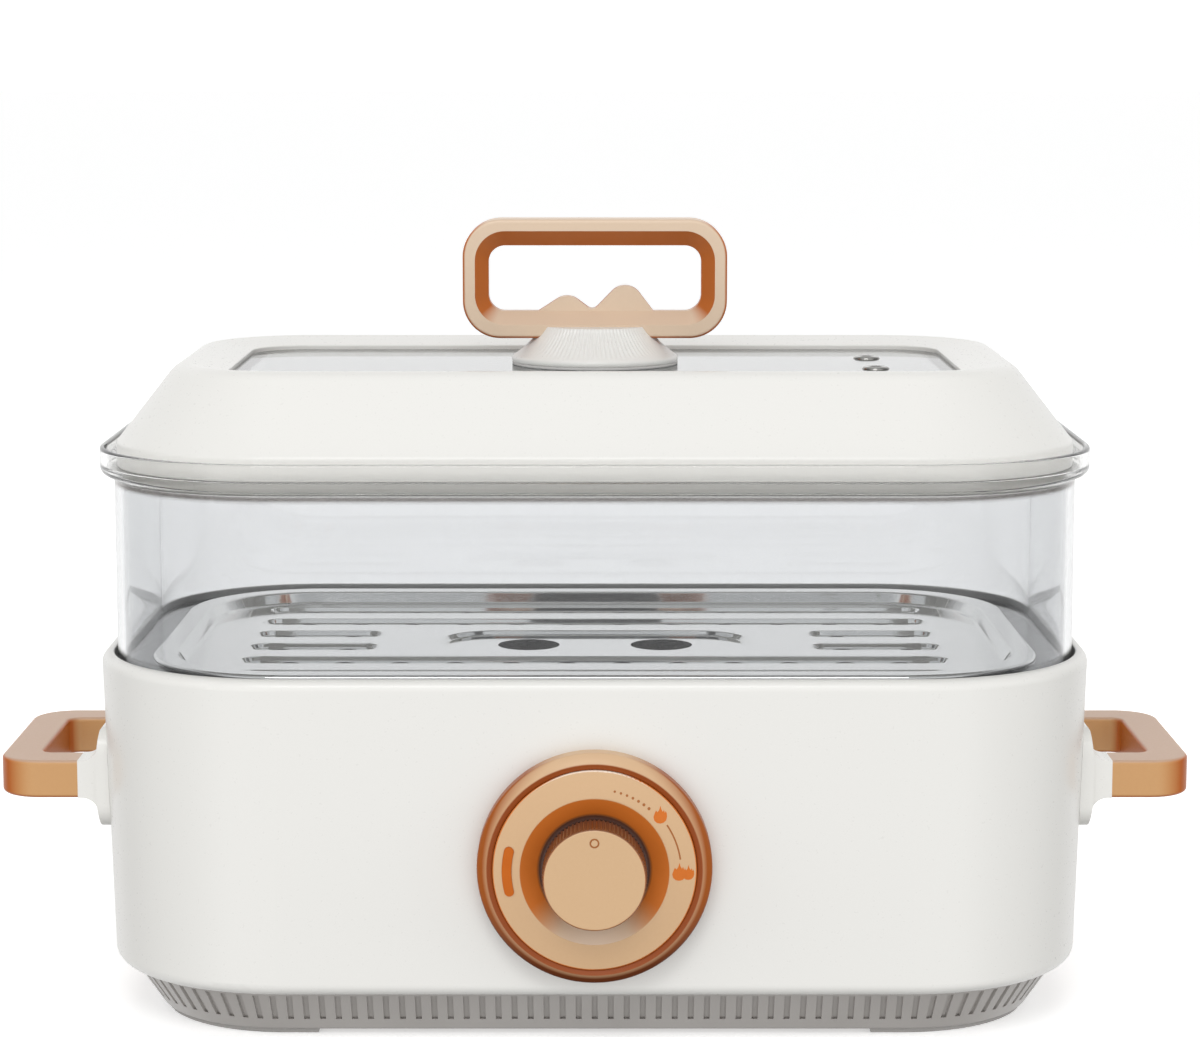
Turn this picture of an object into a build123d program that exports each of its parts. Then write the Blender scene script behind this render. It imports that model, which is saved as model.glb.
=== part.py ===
from build123d import *
import os
from math import cos, pi, radians, sin, tan

# Electric cooker with a clear steamer box, steam tray and lid. Millimetres, +Z up, front towards -Y.
# The pieces are drawn around the middle of the housing and moved at the end, so that the origin
# lies on the table under the middle of the whole object.

# Plan shared by all walls: rounded rectangles at some reach outside one core rectangle,
# whose corners are the centres of every corner arc (half sizes)
CORE_X = 100.0
CORE_Y = 36.0

# Play left between pieces
FIT = 0.05            # pieces of one assembly that are pushed together
SHAFT_PLAY = 0.06     # turning shaft in its bore, on the radius
LOOSE = 0.5           # pieces that are lifted off by hand
OVERRUN = 1.0         # how far a cutting shape runs past the face it cuts

# Rounds of small edges
EDGE = 0.5
SOFT_EDGE = 1.0

# Base: feet, plinth, bottom plate
FOOT_HEIGHT = 1.5
FOOT_WIDTH = 6.5
FOOT_STRAIGHT = 11.0          # run of a foot past each end of its corner arc
FOOT_INSET = 1.2
PLINTH_HEIGHT = 15.0
PLINTH_BOTTOM_REACH = 44.0
PLINTH_TOP_REACH = 54.0
PLINTH_WALL = 3.0             # measured level
PLINTH_FLANGE = 2.4
PLINTH_FOOT_ROUND = 2.0
PLINTH_TOP_FLANGE_WIDTH = 7.0
PLINTH_BOTTOM_FLANGE_WIDTH = 8.0
RIB_PITCH = 5.15              # grooves round the plinth
RIB_GROOVE_WIDTH = 1.9
RIB_GROOVE_DEPTH = 1.3        # measured level
RIB_GROOVE_TOP = 1.4          # plain band above the grooves
RIB_GROOVE_BOTTOM = 4.3       # plain band below the grooves
BOTTOM_PLATE_THICKNESS = 2.0
BOTTOM_VENT_LENGTH = 30.0
BOTTOM_VENT_WIDTH = 3.0
BOTTOM_VENT_PITCH = 8.0
BOTTOM_VENT_COUNT = 7

# Housing
HOUSING_HEIGHT = 102.5
HOUSING_TOP_REACH = 62.2
HOUSING_DRAFT = 1.63          # degrees, walls lean in towards the plinth
HOUSING_WALL = 2.6
HOUSING_FOOT_ROUND = 4.2
LIP_WALL = 4.1
LIP_DEPTH = 9.0               # lip above the ledge that carries the pan
LIP_ROUND = 3.4
LEDGE_WIDTH = 11.5
LEDGE_THICKNESS = 2.4
HOUSING_FLANGE_WIDTH = 13.0   # turned-in bottom edge
POST_RADIUS = 4.2
POST_REACH = 30.0

# Cooking pan and heater
SEAL_THICKNESS = 1.0
SEAL_MARGIN = 0.6
PAN_SHEET = 1.6
PAN_FLANGE_THICKNESS = 1.5
PAN_DEPTH = 66.0
PAN_MOUTH_REACH = 43.0
PAN_TAPER = 2.0
PAN_ROUND = 12.0
HEAT_PLATE_REACH = 25.0
HEAT_PLATE_THICKNESS = 6.0
HEATER_RADIUS = 3.5
HEATER_LEG_Y = 22.0
HEATER_LEG_X = 80.0
HEATER_BEND = 20.0
HEATER_END_DROP = 7.9
HEATER_END_BEND = 6.0
STRAP_X = 50.0
STRAP_LENGTH = 56.0
STRAP_WIDTH = 14.0
STRAP_THICKNESS = 1.5
STRAP_BOSS_RADIUS = 4.5
CUTOUT_X = -20.0
CUTOUT_RADIUS = 8.0
CUTOUT_HEIGHT = 7.0
CUTOUT_TAB_DROP = 5.9         # terminals below the heating plate
BULB_X = -13.5
BULB_RADIUS = 2.5
BULB_LENGTH = 28.0
BULB_END_Y = -29.0
CAPILLARY_RADIUS = 1.0
CAPILLARY_BEND = 3.0
EARTH_X = 30.0
EARTH_Y = 45.0
EARTH_RADIUS = 4.0
EARTH_HEIGHT = 5.0
SHIELD_SHEET = 0.8
SHIELD_REACH = 52.0

# Control dial and knob, forward of the housing wall at the dial's height
DIAL_Z = 60.3
BEZEL_RADIUS = 36.9
BEZEL_EDGE = 3.2
BEZEL_FRONT = 8.8
BEZEL_ROUND = 0.5
BEZEL_SHOULDER = 3.6
FACE_RADIUS = 31.9
FACE_EDGE = 9.1
DISH_RADIUS = 23.4
DISH_EDGE = 11.0
DISH_FLOOR = 7.4
DISH_FLOOR_RADIUS = 17.2
DISH_ROUND = 2.5
DIAL_WALL = 2.0
DIAL_GAP = 0.15               # shadow line between bezel and face
DIAL_SUNK = 2.0               # drawn behind the wall line, then trimmed to the wall
DIAL_HOLE_RADIUS = 25.4
DIAL_BOSS_RING = 28.0
DIAL_BOSS_RADIUS = 2.8
DIAL_BOSS_COUNT = 4
LENS_RING = 27.4
LENS_WIDTH = 3.0
LENS_HALF_ANGLE = 13.5
LENS_BACK = 5.8
LENS_PROUD = 0.25
LAMP_RADIUS = 2.0
LAMP_LENGTH = 10.0
LAMP_INSET = 0.5              # lamp nearer the axis than the middle of its lens
KNOB_RADIUS = 16.3
KNOB_CAP_RADIUS = 16.0
KNOB_CAP_HEIGHT = 1.8
KNOB_EDGE = 0.7
KNOB_FRONT = 21.6
KNOB_FLOAT = 0.8              # knob clear of the dish floor
KNOB_SHELL = 2.4
KNOB_TEETH = 72
KNOB_TOOTH_DEPTH = 0.6
KNOB_HUB_RADIUS = 5.6
KNOB_MARK_RING = 11.8
KNOB_MARK_RADIUS = 1.55
KNOB_MARK_LINE = 0.55
KNOB_MARK_DEPTH = 0.3
SHAFT_RADIUS = 3.0
SHAFT_GRIP = 10.0             # shaft inside the knob's hub
THERMOSTAT_SIZE = 34.0
THERMOSTAT_DEPTH = 20.0
THERMOSTAT_BORE = 14.0
THERMOSTAT_CORNER = 3.0
TERMINAL_SETBACK = 11.0       # terminals behind the thermostat's front
THERMOSTAT_BUSH_RADIUS = 4.4
THERMOSTAT_EAR_X = 20.5
THERMOSTAT_EAR_WIDTH = 8.0
THERMOSTAT_EAR_THICKNESS = 2.0

# Spade terminals and wires
TAB_WIDTH = 6.3
TAB_THICKNESS = 0.8
TAB_LENGTH = 7.0
WIRE_RADIUS = 1.3
WIRE_BEND = 5.0
WIRE_LEAD = 10.0              # straight run out of a terminal
WIRE_FALL = 12.0              # run over which a wire drops to the heat shield
WIRE_SIDE_GAP = 16.0          # wire past the end of the heater
WIRE_CROSS_X = -40.0          # where the neutral wire reaches the shield
WIRE_CROSS_Y = 52.0
SWITCHED_WIRE_Y = -60.0
HEATER_WIRE_BEND = 4.0
EARTH_WIRE_LEAD = 5.0
EARTH_WIRE_FALL = 3.0
EARTH_WIRE_BEND = 2.5
LAMP_WIRE_RADIUS = 0.8
LAMP_WIRE_LEAD = 4.0
LAMP_WIRE_GAP = 3.5           # lamp wire beside the thermostat
LAMP_WIRE_BEND = 1.5

# Side handles
GRIP_BOTTOM = 69.1
GRIP_TOP = 81.6
GRIP_OUTER_X = 197.8
GRIP_INNER_X = 184.7
GRIP_OUTER_Y = 42.8
GRIP_INNER_Y = 28.4
GRIP_CORNER = 14.0
GRIP_INNER_CORNER = 4.0
GRIP_EDGE = 1.3
SLEEVE_X = 170.9              # where the grip enters its bracket
BRACKET_X = 164.6             # outer face of the bracket's plate
BRACKET_EDGE_X = 163.5
BRACKET_BOTTOM = 58.8
BRACKET_TOP = 92.2
BRACKET_HALF_Y = 45.0
BRACKET_CORNER = 8.0
BRACKET_ROUND = 1.2
BRACKET_FLARE = 5.6
TENON_INSET = 2.2
TENON_LENGTH = 5.0

# Power inlet, middle of the back
INLET_Z = 31.0
INLET_WIDTH = 28.5
INLET_HEIGHT = 20.5
INLET_DEPTH = 20.0
INLET_FLANGE = 2.5
INLET_FLANGE_WIDTH = 48.0
INLET_FLANGE_HEIGHT = 22.5
INLET_FLANGE_CORNER = 5.0
INLET_SCREW_X = 19.5
SOCKET_WIDTH = 24.4
SOCKET_HEIGHT = 16.4
SOCKET_DEPTH = 17.0
SOCKET_CORNER = 4.5
PIN_WIDTH = 2.0
PIN_HEIGHT = 4.0
PIN_LENGTH = 12.0
PIN_SPREAD = 8.0
PIN_RISE = 2.0
EARTH_PIN_DROP = 3.0

# Steamer box
BOX_HEIGHT = 74.2
BOX_REACH = 57.0
BOX_WALL = 2.5
RIM_REACH = 61.6
RIM_HEIGHT = 9.2
RIM_WALL = 2.2
RIM_ROUND = 2.8               # under the rim
RIM_NECK_ROUND = 1.5
LID_SEAT_DEPTH = 6.1
TRAY_SEAT_HEIGHT = 4.5
TRAY_SEAT_THICKNESS = 2.4

# Steam tray, on its own core rectangle (half sizes)
TRAY_CORE_X = 99.0
TRAY_CORE_Y = 40.0
TRAY_REACH = 46.0
TRAY_SHEET = 0.8
TRAY_FLANGE_WIDTH = 8.0
TRAY_HEM = 1.6
TRAY_BEND = 1.2
TRAY_DEPTH = 4.0
TRAY_WALL_RUN = 2.5
TRAY_CHANNEL_DEPTH = 1.6
CHANNEL_LEAN = 35.0           # degrees from upright
CHANNEL_FLOOR_ROUND = 0.8
CHANNEL_EDGE_ROUND = 0.7
CHANNEL_WIDTH = 12.6
CHANNEL_PITCH = 24.5
CHANNEL_HALF_LENGTH = 117.2
SHORT_CHANNEL_LENGTH = 44.4
OVAL_LENGTH = 106.0
OVAL_WIDTH = 38.5
STEAM_HOLE_RADIUS = 4.0
STEAM_HOLE_PITCH = 18.4
STEAM_HOLES_PER_ROW = 12
SHORT_HOLE_PITCH = 22.6
LONG_ROWS = (0, 1, 4, 5)      # rows counted from the front
SHORT_ROWS = (2, 3)
FINGER_HOLE_RADIUS = 10.5
FINGER_HOLE_X = 22.6

# Lid
LID_REACH = 56.0
LID_BAND_HEIGHT = 7.4
LID_BAND_ROUND = 2.0
LID_SLOPE = 51.9              # degrees from level
LID_WALL = 2.6
LID_CREST_ROUND = 6.0
LID_TOP_FALL = 10.5           # degrees, from the crest in to the window
LID_LIP_WALL = 2.2
LID_LIP_DEPTH = 3.1
WINDOW_REACH = 19.5
WINDOW_EDGE_HEIGHT = 30.1     # edge of the window opening above the lid's seat
WINDOW_STEP = 1.4             # pane below that edge
PANE_THICKNESS = 3.0
PANE_GAP = 0.5
GASKET_THICKNESS = 0.7
WINDOW_LEDGE_WIDTH = 5.0
WINDOW_LEDGE_THICKNESS = 2.4
VENT_X = 93.2
VENT_Y = 19.0
VENT_RADIUS = 4.55
VENT_STEM_RADIUS = 3.2
VENT_BORE_RADIUS = 1.9
VENT_FLANGE = 0.8

# Lid handle and its pedestal
PEDESTAL_RADIUS = 27.9
PEDESTAL_RIM = 1.8
PEDESTAL_WAIST_RADIUS = 21.6
PEDESTAL_TOP_RADIUS = 17.8
PEDESTAL_WAIST_HEIGHT = 6.6
PEDESTAL_WAIST_ROUND = 9.0
PEDESTAL_HEIGHT = 12.0
PEDESTAL_GASKET = 0.9
PEDESTAL_GASKET_INSET = 0.7
LOOP_HALF_WIDTH = 44.2
LOOP_HEIGHT = 39.7
LOOP_DEPTH = 16.0
LOOP_CORNER = 12.5
LOOP_EDGE = 1.2
LOOP_SIDE = 8.5
LOOP_BOTTOM_BAR = 8.8
LOOP_TOP_BAR = 8.9
LOOP_INNER_CORNER = 5.6
LOOP_LAND = 6.0               # flat strip in the middle of the loop's inner side
LOOP_BEVEL = 4.4
LOOP_TOP_BEVEL = 5.0
LOOP_SUNK = 3.8               # lower bar inside the pedestal's slot
LEFT_HILL_X = -9.1
LEFT_HILL_RISE = 6.3
RIGHT_HILL_X = 10.7
RIGHT_HILL_RISE = 11.6
SADDLE_X = -0.7
HILL_FOOT_LEFT = -18.9
HILL_FOOT_RIGHT = 19.6
HILL_ROUND = 6.0
SADDLE_ROUND = 2.5
CLAMP_LENGTH = 36.0
CLAMP_WIDTH = 18.0
CLAMP_THICKNESS = 1.2
CLAMP_CORNER = 3.0
LID_SCREW_X = 9.0
LID_SCREW_RADIUS = 2.0
LID_SCREW_GRIP = 5.8
LID_SCREW_PLAY = 0.15

# Screws
SCREW_RADIUS = 1.5
SCREW_HEAD_RADIUS = 2.8
SCREW_HEAD_HEIGHT = 1.8
SCREW_BITE = 7.0
SCREW_SEAT_GAP = 0.15         # flat head on a leaning wall
HANDLE_SCREW_RADIUS = 2.0
HANDLE_SCREW_BITE = 8.0

# Levels, all from the table upwards
PLINTH_Z = FOOT_HEIGHT
HOUSING_Z = PLINTH_Z + PLINTH_HEIGHT
LIP_Z = HOUSING_Z + HOUSING_HEIGHT
LEDGE_Z = LIP_Z - LIP_DEPTH
PAN_FLANGE_Z = LEDGE_Z + SEAL_THICKNESS
PAN_RIM_Z = PAN_FLANGE_Z + PAN_FLANGE_THICKNESS
PAN_FLOOR_Z = PAN_RIM_Z - PAN_DEPTH
HEAT_PLATE_TOP = PAN_FLOOR_Z - PAN_SHEET
HEAT_PLATE_Z = HEAT_PLATE_TOP - HEAT_PLATE_THICKNESS
BOTTOM_PLATE_Z = PLINTH_Z + PLINTH_FLANGE
SHIELD_Z = HOUSING_Z + HOUSING_WALL
BOX_Z = PAN_RIM_Z
BOX_RIM_Z = BOX_Z + BOX_HEIGHT
TRAY_SEAT_Z = BOX_Z + TRAY_SEAT_HEIGHT
LID_SEAT_Z = BOX_RIM_Z - LID_SEAT_DEPTH
WINDOW_EDGE_Z = LID_SEAT_Z + WINDOW_EDGE_HEIGHT
PANE_TOP = WINDOW_EDGE_Z - WINDOW_STEP
PANE_Z = PANE_TOP - PANE_THICKNESS
PEDESTAL_Z = PANE_TOP + PEDESTAL_GASKET
PEDESTAL_TOP = PEDESTAL_Z + PEDESTAL_HEIGHT
LOOP_Z = PEDESTAL_TOP - LOOP_SUNK
WIRE_Z = SHIELD_Z + SHIELD_SHEET + WIRE_RADIUS + FIT


def wall_reach(z):
    """Reach of the housing's outer face at a height."""
    return HOUSING_TOP_REACH - (LIP_Z - z) * tan(radians(HOUSING_DRAFT))


# Places that follow from the sizes above
LIP_REACH = HOUSING_TOP_REACH - LIP_WALL
BOX_INNER_REACH = BOX_REACH - BOX_WALL
TRAY_OPENING_REACH = TRAY_REACH - TRAY_FLANGE_WIDTH + TRAY_SHEET + 2 * LOOSE
DIAL_Y = -(CORE_Y + wall_reach(DIAL_Z))
BACK_Y = CORE_Y + wall_reach(INLET_Z)
THERMOSTAT_Y = DIAL_Y - (DISH_FLOOR - DIAL_WALL)
TERMINAL_Y = THERMOSTAT_Y + TERMINAL_SETBACK
TERMINAL_Z = DIAL_Z - THERMOSTAT_SIZE / 2 - TAB_LENGTH
INLET_TAB_Y = BACK_Y - INLET_DEPTH - TAB_LENGTH
CUTOUT_TAB_Z = HEAT_PLATE_Z - CUTOUT_TAB_DROP
KNOB_BACK = DISH_FLOOR + KNOB_FLOAT
LAMP_X = LAMP_INSET - LENS_RING
LAMP_Y = DIAL_Y - LENS_BACK + LAMP_RADIUS + FIT
GRIP_Y = (GRIP_OUTER_Y + GRIP_INNER_Y) / 2
GRIP_Z = (GRIP_BOTTOM + GRIP_TOP) / 2
OBJECT_FRONT = -DIAL_Y + KNOB_FRONT
OBJECT_BACK = max(CORE_Y + HOUSING_TOP_REACH, BACK_Y + INLET_FLANGE + SCREW_HEAD_HEIGHT)
SHIFT_Y = (OBJECT_FRONT - OBJECT_BACK) / 2


def outline(*corners):
    """Flat face through (x, y) corners; a third number rounds that corner with a tangent arc."""
    points = [Vector(corner[0], corner[1]) for corner in corners]
    bends = []
    for index, corner in enumerate(corners):
        point = points[index]
        if len(corner) < 3:
            bends.append((point, None, point))
            continue
        back = (points[index - 1] - point).normalized()
        ahead = (points[(index + 1) % len(points)] - point).normalized()
        half = radians(back.get_angle(ahead)) / 2
        inward = (back + ahead).normalized()
        trim = corner[2] / tan(half)
        top = point + inward * (corner[2] / sin(half) - corner[2])
        bends.append((point + back * trim, top, point + ahead * trim))
    edges = []
    for index, (start, top, end) in enumerate(bends):
        if top is not None:
            edges.append(Edge.make_three_point_arc(start, top, end))
        following = bends[(index + 1) % len(bends)][0]
        if (following - end).length > 1e-6:
            edges.append(Edge.make_line(end, following))
    return make_face(edges)


def profile_plane(x, y, turn):
    """Upright plane whose first axis points away from (x, y) at an angle and whose second is up."""
    angle = radians(turn)
    return Plane((x, y, 0), x_dir=(cos(angle), sin(angle), 0), z_dir=(sin(angle), -cos(angle), 0))


def corners_of(core_x, core_y):
    """Corner arc centres of a core rectangle, in turning order, with the angle each arc starts at."""
    return [(core_x, core_y, 0), (-core_x, core_y, 90), (-core_x, -core_y, 180), (core_x, -core_y, 270)]


def ring(profile, core_x=CORE_X, core_y=CORE_Y):
    """Carries a (reach, height) profile once round a core rectangle."""
    pieces = []
    for x, y, turn in corners_of(core_x, core_y):
        pieces.append(revolve(profile_plane(x, y, turn) * profile, Axis((x, y, 0), (0, 0, 1)), 90))
        side = 2 * core_x if turn % 180 == 0 else 2 * core_y
        pieces.append(extrude(profile_plane(x, y, turn + 90) * profile, -side))
    return pieces[0] + pieces[1:]


def plate(reach, low, high, core_x=CORE_X, core_y=CORE_Y):
    """Rounded rectangular slab at a reach outside a core rectangle."""
    sketch = RectangleRounded(2 * (core_x + reach), 2 * (core_y + reach), reach)
    return Pos(0, 0, low) * extrude(sketch, high - low)


def core_slab(low, high, core_x=CORE_X, core_y=CORE_Y):
    """Rectangular slab that fills the core rectangle."""
    return Pos(0, 0, (low + high) / 2) * Box(2 * core_x, 2 * core_y, high - low)


def turned(profile):
    """Turns a (radius, distance forward) profile about the dial's axis."""
    plane = Plane((0, DIAL_Y, DIAL_Z), x_dir=(1, 0, 0), z_dir=(0, 0, -1))
    return revolve(plane * profile, Axis((0, DIAL_Y, DIAL_Z), (0, -1, 0)), 360)


def dial_rod(x, z, radius, near, far):
    """Round rod parallel to the dial's axis, between two distances forward of the wall."""
    middle = Vector(x, DIAL_Y - (near + far) / 2, DIAL_Z + z)
    return Pos(middle) * Rot(90, 0, 0) * Cylinder(radius, far - near)


def upright_rod(x, y, radius, low, high):
    """Round upright rod between two heights."""
    return Pos(x, y, (low + high) / 2) * Cylinder(radius, high - low)


def screw(place, direction, radius, length):
    """Pan-head screw whose head seats at a place and whose shank runs in a direction."""
    head_radius = SCREW_HEAD_RADIUS * radius / SCREW_RADIUS
    head = Pos(0, 0, -SCREW_HEAD_HEIGHT / 2) * Cylinder(head_radius, SCREW_HEAD_HEIGHT)
    shank = Pos(0, 0, length / 2) * Cylinder(radius, length)
    return Plane(place, z_dir=direction) * (head + shank)


def tube(points, bends, radius):
    """Round tube along straight runs joined by tangent arcs."""
    path = FilletPolyline(*points, radius=bends)
    return sweep(Plane(path @ 0, z_dir=path % 0) * Circle(radius), path)


def meeting(first, first_angle, second, second_angle):
    """Point where two slanted lines cross, each given by a point and its angle from level."""
    first_rise = tan(radians(first_angle))
    second_rise = tan(radians(second_angle))
    x = (second[1] - first[1] + first_rise * first[0] - second_rise * second[0]) / (first_rise - second_rise)
    return x, first[1] + first_rise * (x - first[0])


# Base

def post_places():
    """Screw posts: one on each corner's diagonal and one in the middle of the front and back."""
    places = [(0, CORE_Y + POST_REACH, 90), (0, -CORE_Y - POST_REACH, 270)]
    for x, y, turn in corners_of(CORE_X, CORE_Y):
        angle = radians(turn + 45)
        places.append((x + POST_REACH * cos(angle), y + POST_REACH * sin(angle), turn + 45))
    return places


def plinth_face(z):
    """Reach of the plinth's sloping outer face at a height."""
    rise = (z - PLINTH_Z) / PLINTH_HEIGHT
    return PLINTH_BOTTOM_REACH + rise * (PLINTH_TOP_REACH - PLINTH_BOTTOM_REACH)


def groove_planes():
    """Upright planes square to the plinth's face, one at each groove."""
    middle = (PLINTH_BOTTOM_REACH + PLINTH_TOP_REACH) / 2
    planes = []
    for x, y, turn in corners_of(CORE_X, CORE_Y):
        in_corner = round(radians(90) * middle / RIB_PITCH)
        for index in range(in_corner):
            planes.append(profile_plane(x, y, turn + 90 * (index + 0.5) / in_corner))
        side = 2 * CORE_X if turn % 180 == 0 else 2 * CORE_Y
        along = Vector(-cos(radians(turn)), -sin(radians(turn)))
        on_side = round(side / RIB_PITCH)
        for index in range(on_side):
            foot = Vector(x, y) + along * (side * (index + 0.5) / on_side)
            planes.append(profile_plane(foot.X, foot.Y, turn + 90))
    return planes


def make_plinth():
    top = HOUSING_Z
    flange_top = PLINTH_Z + PLINTH_FLANGE
    flange_low = top - PLINTH_FLANGE
    body = ring(outline(
        (PLINTH_TOP_REACH - PLINTH_TOP_FLANGE_WIDTH, top),
        (PLINTH_TOP_REACH, top, EDGE),
        (PLINTH_BOTTOM_REACH, PLINTH_Z, PLINTH_FOOT_ROUND),
        (PLINTH_BOTTOM_REACH - PLINTH_BOTTOM_FLANGE_WIDTH, PLINTH_Z),
        (PLINTH_BOTTOM_REACH - PLINTH_BOTTOM_FLANGE_WIDTH, flange_top),
        (plinth_face(flange_top) - PLINTH_WALL, flange_top),
        (plinth_face(flange_low) - PLINTH_WALL, flange_low),
        (PLINTH_TOP_REACH - PLINTH_TOP_FLANGE_WIDTH, flange_low)))
    low = PLINTH_Z + RIB_GROOVE_BOTTOM
    high = top - RIB_GROOVE_TOP
    groove = outline(
        (plinth_face(low) - RIB_GROOVE_DEPTH, low),
        (plinth_face(low) + RIB_GROOVE_DEPTH, low),
        (plinth_face(high) + RIB_GROOVE_DEPTH, high),
        (plinth_face(high) - RIB_GROOVE_DEPTH, high))
    return body - [extrude(plane * groove, RIB_GROOVE_WIDTH / 2, both=True) for plane in groove_planes()]


def make_feet():
    outer = PLINTH_BOTTOM_REACH - FOOT_INSET
    inner = outer - FOOT_WIDTH
    section = outline((inner, 0), (outer, 0, EDGE), (outer, FOOT_HEIGHT), (inner, FOOT_HEIGHT))
    feet = []
    for x, y, turn in corners_of(CORE_X, CORE_Y):
        arc = revolve(profile_plane(x, y, turn) * section, Axis((x, y, 0), (0, 0, 1)), 90)
        lead = extrude(profile_plane(x, y, turn) * section, FOOT_STRAIGHT)
        trail = extrude(profile_plane(x, y, turn + 90) * section, -FOOT_STRAIGHT)
        feet.append(arc + [lead, trail])
    return feet


def make_bottom_plate():
    reach = plinth_face(BOTTOM_PLATE_Z) - PLINTH_WALL - LOOSE
    body = plate(reach, BOTTOM_PLATE_Z, BOTTOM_PLATE_Z + BOTTOM_PLATE_THICKNESS)
    body -= [upright_rod(x, y, SCREW_RADIUS + FIT, PLINTH_Z, HOUSING_Z) for x, y, _ in post_places()]
    first = -(BOTTOM_VENT_COUNT - 1) / 2
    slot = extrude(SlotOverall(BOTTOM_VENT_LENGTH, BOTTOM_VENT_WIDTH, 90), PLINTH_HEIGHT)
    for index in range(BOTTOM_VENT_COUNT):
        body -= Pos((first + index) * BOTTOM_VENT_PITCH, 0, PLINTH_Z) * slot
    return body


def make_base_screws():
    length = BOTTOM_PLATE_THICKNESS + SCREW_BITE
    places = [(x, y, BOTTOM_PLATE_Z) for x, y, _ in post_places()]
    return [screw(place, (0, 0, 1), SCREW_RADIUS, length) for place in places]


# Housing

def housing_envelope():
    """The housing's outer form, filled, to shape what lies against its walls."""
    section = outline(
        (0, HOUSING_Z), (wall_reach(HOUSING_Z), HOUSING_Z), (HOUSING_TOP_REACH, LIP_Z), (0, LIP_Z))
    return ring(section) + core_slab(HOUSING_Z, LIP_Z)


def dial_boss_places():
    """(x, z) of the dial's screw bosses from its middle."""
    step = 360 / DIAL_BOSS_COUNT
    angles = [radians(step * (index + 0.5)) for index in range(DIAL_BOSS_COUNT)]
    return [(DIAL_BOSS_RING * cos(angle), DIAL_BOSS_RING * sin(angle)) for angle in angles]


def handle_screw_places():
    """Seats of the right-hand handle's screws, just inside the wall."""
    x = CORE_X + wall_reach(GRIP_Z) - HOUSING_WALL - SCREW_SEAT_GAP
    return [(x, GRIP_Y, GRIP_Z), (x, -GRIP_Y, GRIP_Z)]


def make_housing():
    flange_inner = wall_reach(HOUSING_Z) - HOUSING_FLANGE_WIDTH
    ledge_inner = LIP_REACH - LEDGE_WIDTH
    ledge_low = LEDGE_Z - LEDGE_THICKNESS
    body = ring(outline(
        (flange_inner, HOUSING_Z),
        (wall_reach(HOUSING_Z), HOUSING_Z, HOUSING_FOOT_ROUND),
        (HOUSING_TOP_REACH, LIP_Z, LIP_ROUND),
        (LIP_REACH, LIP_Z, EDGE),
        (LIP_REACH, LEDGE_Z),
        (ledge_inner, LEDGE_Z),
        (ledge_inner, ledge_low),
        (wall_reach(ledge_low) - HOUSING_WALL, ledge_low),
        (wall_reach(SHIELD_Z) - HOUSING_WALL, SHIELD_Z, HOUSING_FOOT_ROUND - HOUSING_WALL),
        (flange_inner, SHIELD_Z)))
    post_z = BOTTOM_PLATE_Z + BOTTOM_PLATE_THICKNESS
    arm_length = flange_inner - POST_REACH + LOOSE
    arm = Box(arm_length, 2 * POST_RADIUS, HOUSING_WALL)
    support = upright_rod(0, 0, POST_RADIUS, post_z, SHIELD_Z)
    support += Pos(arm_length / 2, 0, (HOUSING_Z + SHIELD_Z) / 2) * arm
    for x, y, turn in post_places():
        body += Pos(x, y, 0) * Rot(0, 0, turn) * support
        body -= upright_rod(x, y, SCREW_RADIUS + FIT, PLINTH_Z, post_z + SCREW_BITE)
    deep = 2 * HOUSING_WALL
    body -= dial_rod(0, 0, DIAL_HOLE_RADIUS, -deep, deep)
    body -= [dial_rod(x, z, SCREW_RADIUS + FIT, -deep, deep) for x, z in dial_boss_places()]
    for x, y, z in handle_screw_places():
        hole = Pos(x, y, z) * Rot(0, 90, 0) * Cylinder(HANDLE_SCREW_RADIUS + FIT, 2 * deep)
        body -= [hole, mirror(hole, about=Plane.YZ)]
    body -= Pos(0, BACK_Y, INLET_Z) * Box(INLET_WIDTH + 2 * FIT, 2 * deep, INLET_HEIGHT + 2 * FIT)
    for x in (-INLET_SCREW_X, INLET_SCREW_X):
        body -= Pos(x, BACK_Y, INLET_Z) * Rot(90, 0, 0) * Cylinder(SCREW_RADIUS + FIT, 2 * deep)
    return body


# Pan and heater

def make_seal():
    inner = LIP_REACH - LEDGE_WIDTH + SEAL_MARGIN
    return ring(outline(
        (inner, LEDGE_Z), (LIP_REACH - SEAL_MARGIN, LEDGE_Z),
        (LIP_REACH - SEAL_MARGIN, PAN_FLANGE_Z), (inner, PAN_FLANGE_Z)))


def make_pan():
    floor_reach = PAN_MOUTH_REACH - PAN_TAPER
    wall = ring(outline(
        (0, HEAT_PLATE_TOP),
        (floor_reach + PAN_SHEET, HEAT_PLATE_TOP, PAN_ROUND + PAN_SHEET),
        (PAN_MOUTH_REACH + PAN_SHEET, PAN_FLANGE_Z),
        (LIP_REACH - LOOSE, PAN_FLANGE_Z),
        (LIP_REACH - LOOSE, PAN_RIM_Z),
        (PAN_MOUTH_REACH, PAN_RIM_Z, PAN_FLANGE_THICKNESS),
        (floor_reach, PAN_FLOOR_Z, PAN_ROUND),
        (0, PAN_FLOOR_Z)))
    return wall + core_slab(HEAT_PLATE_TOP, PAN_FLOOR_Z)


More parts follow.
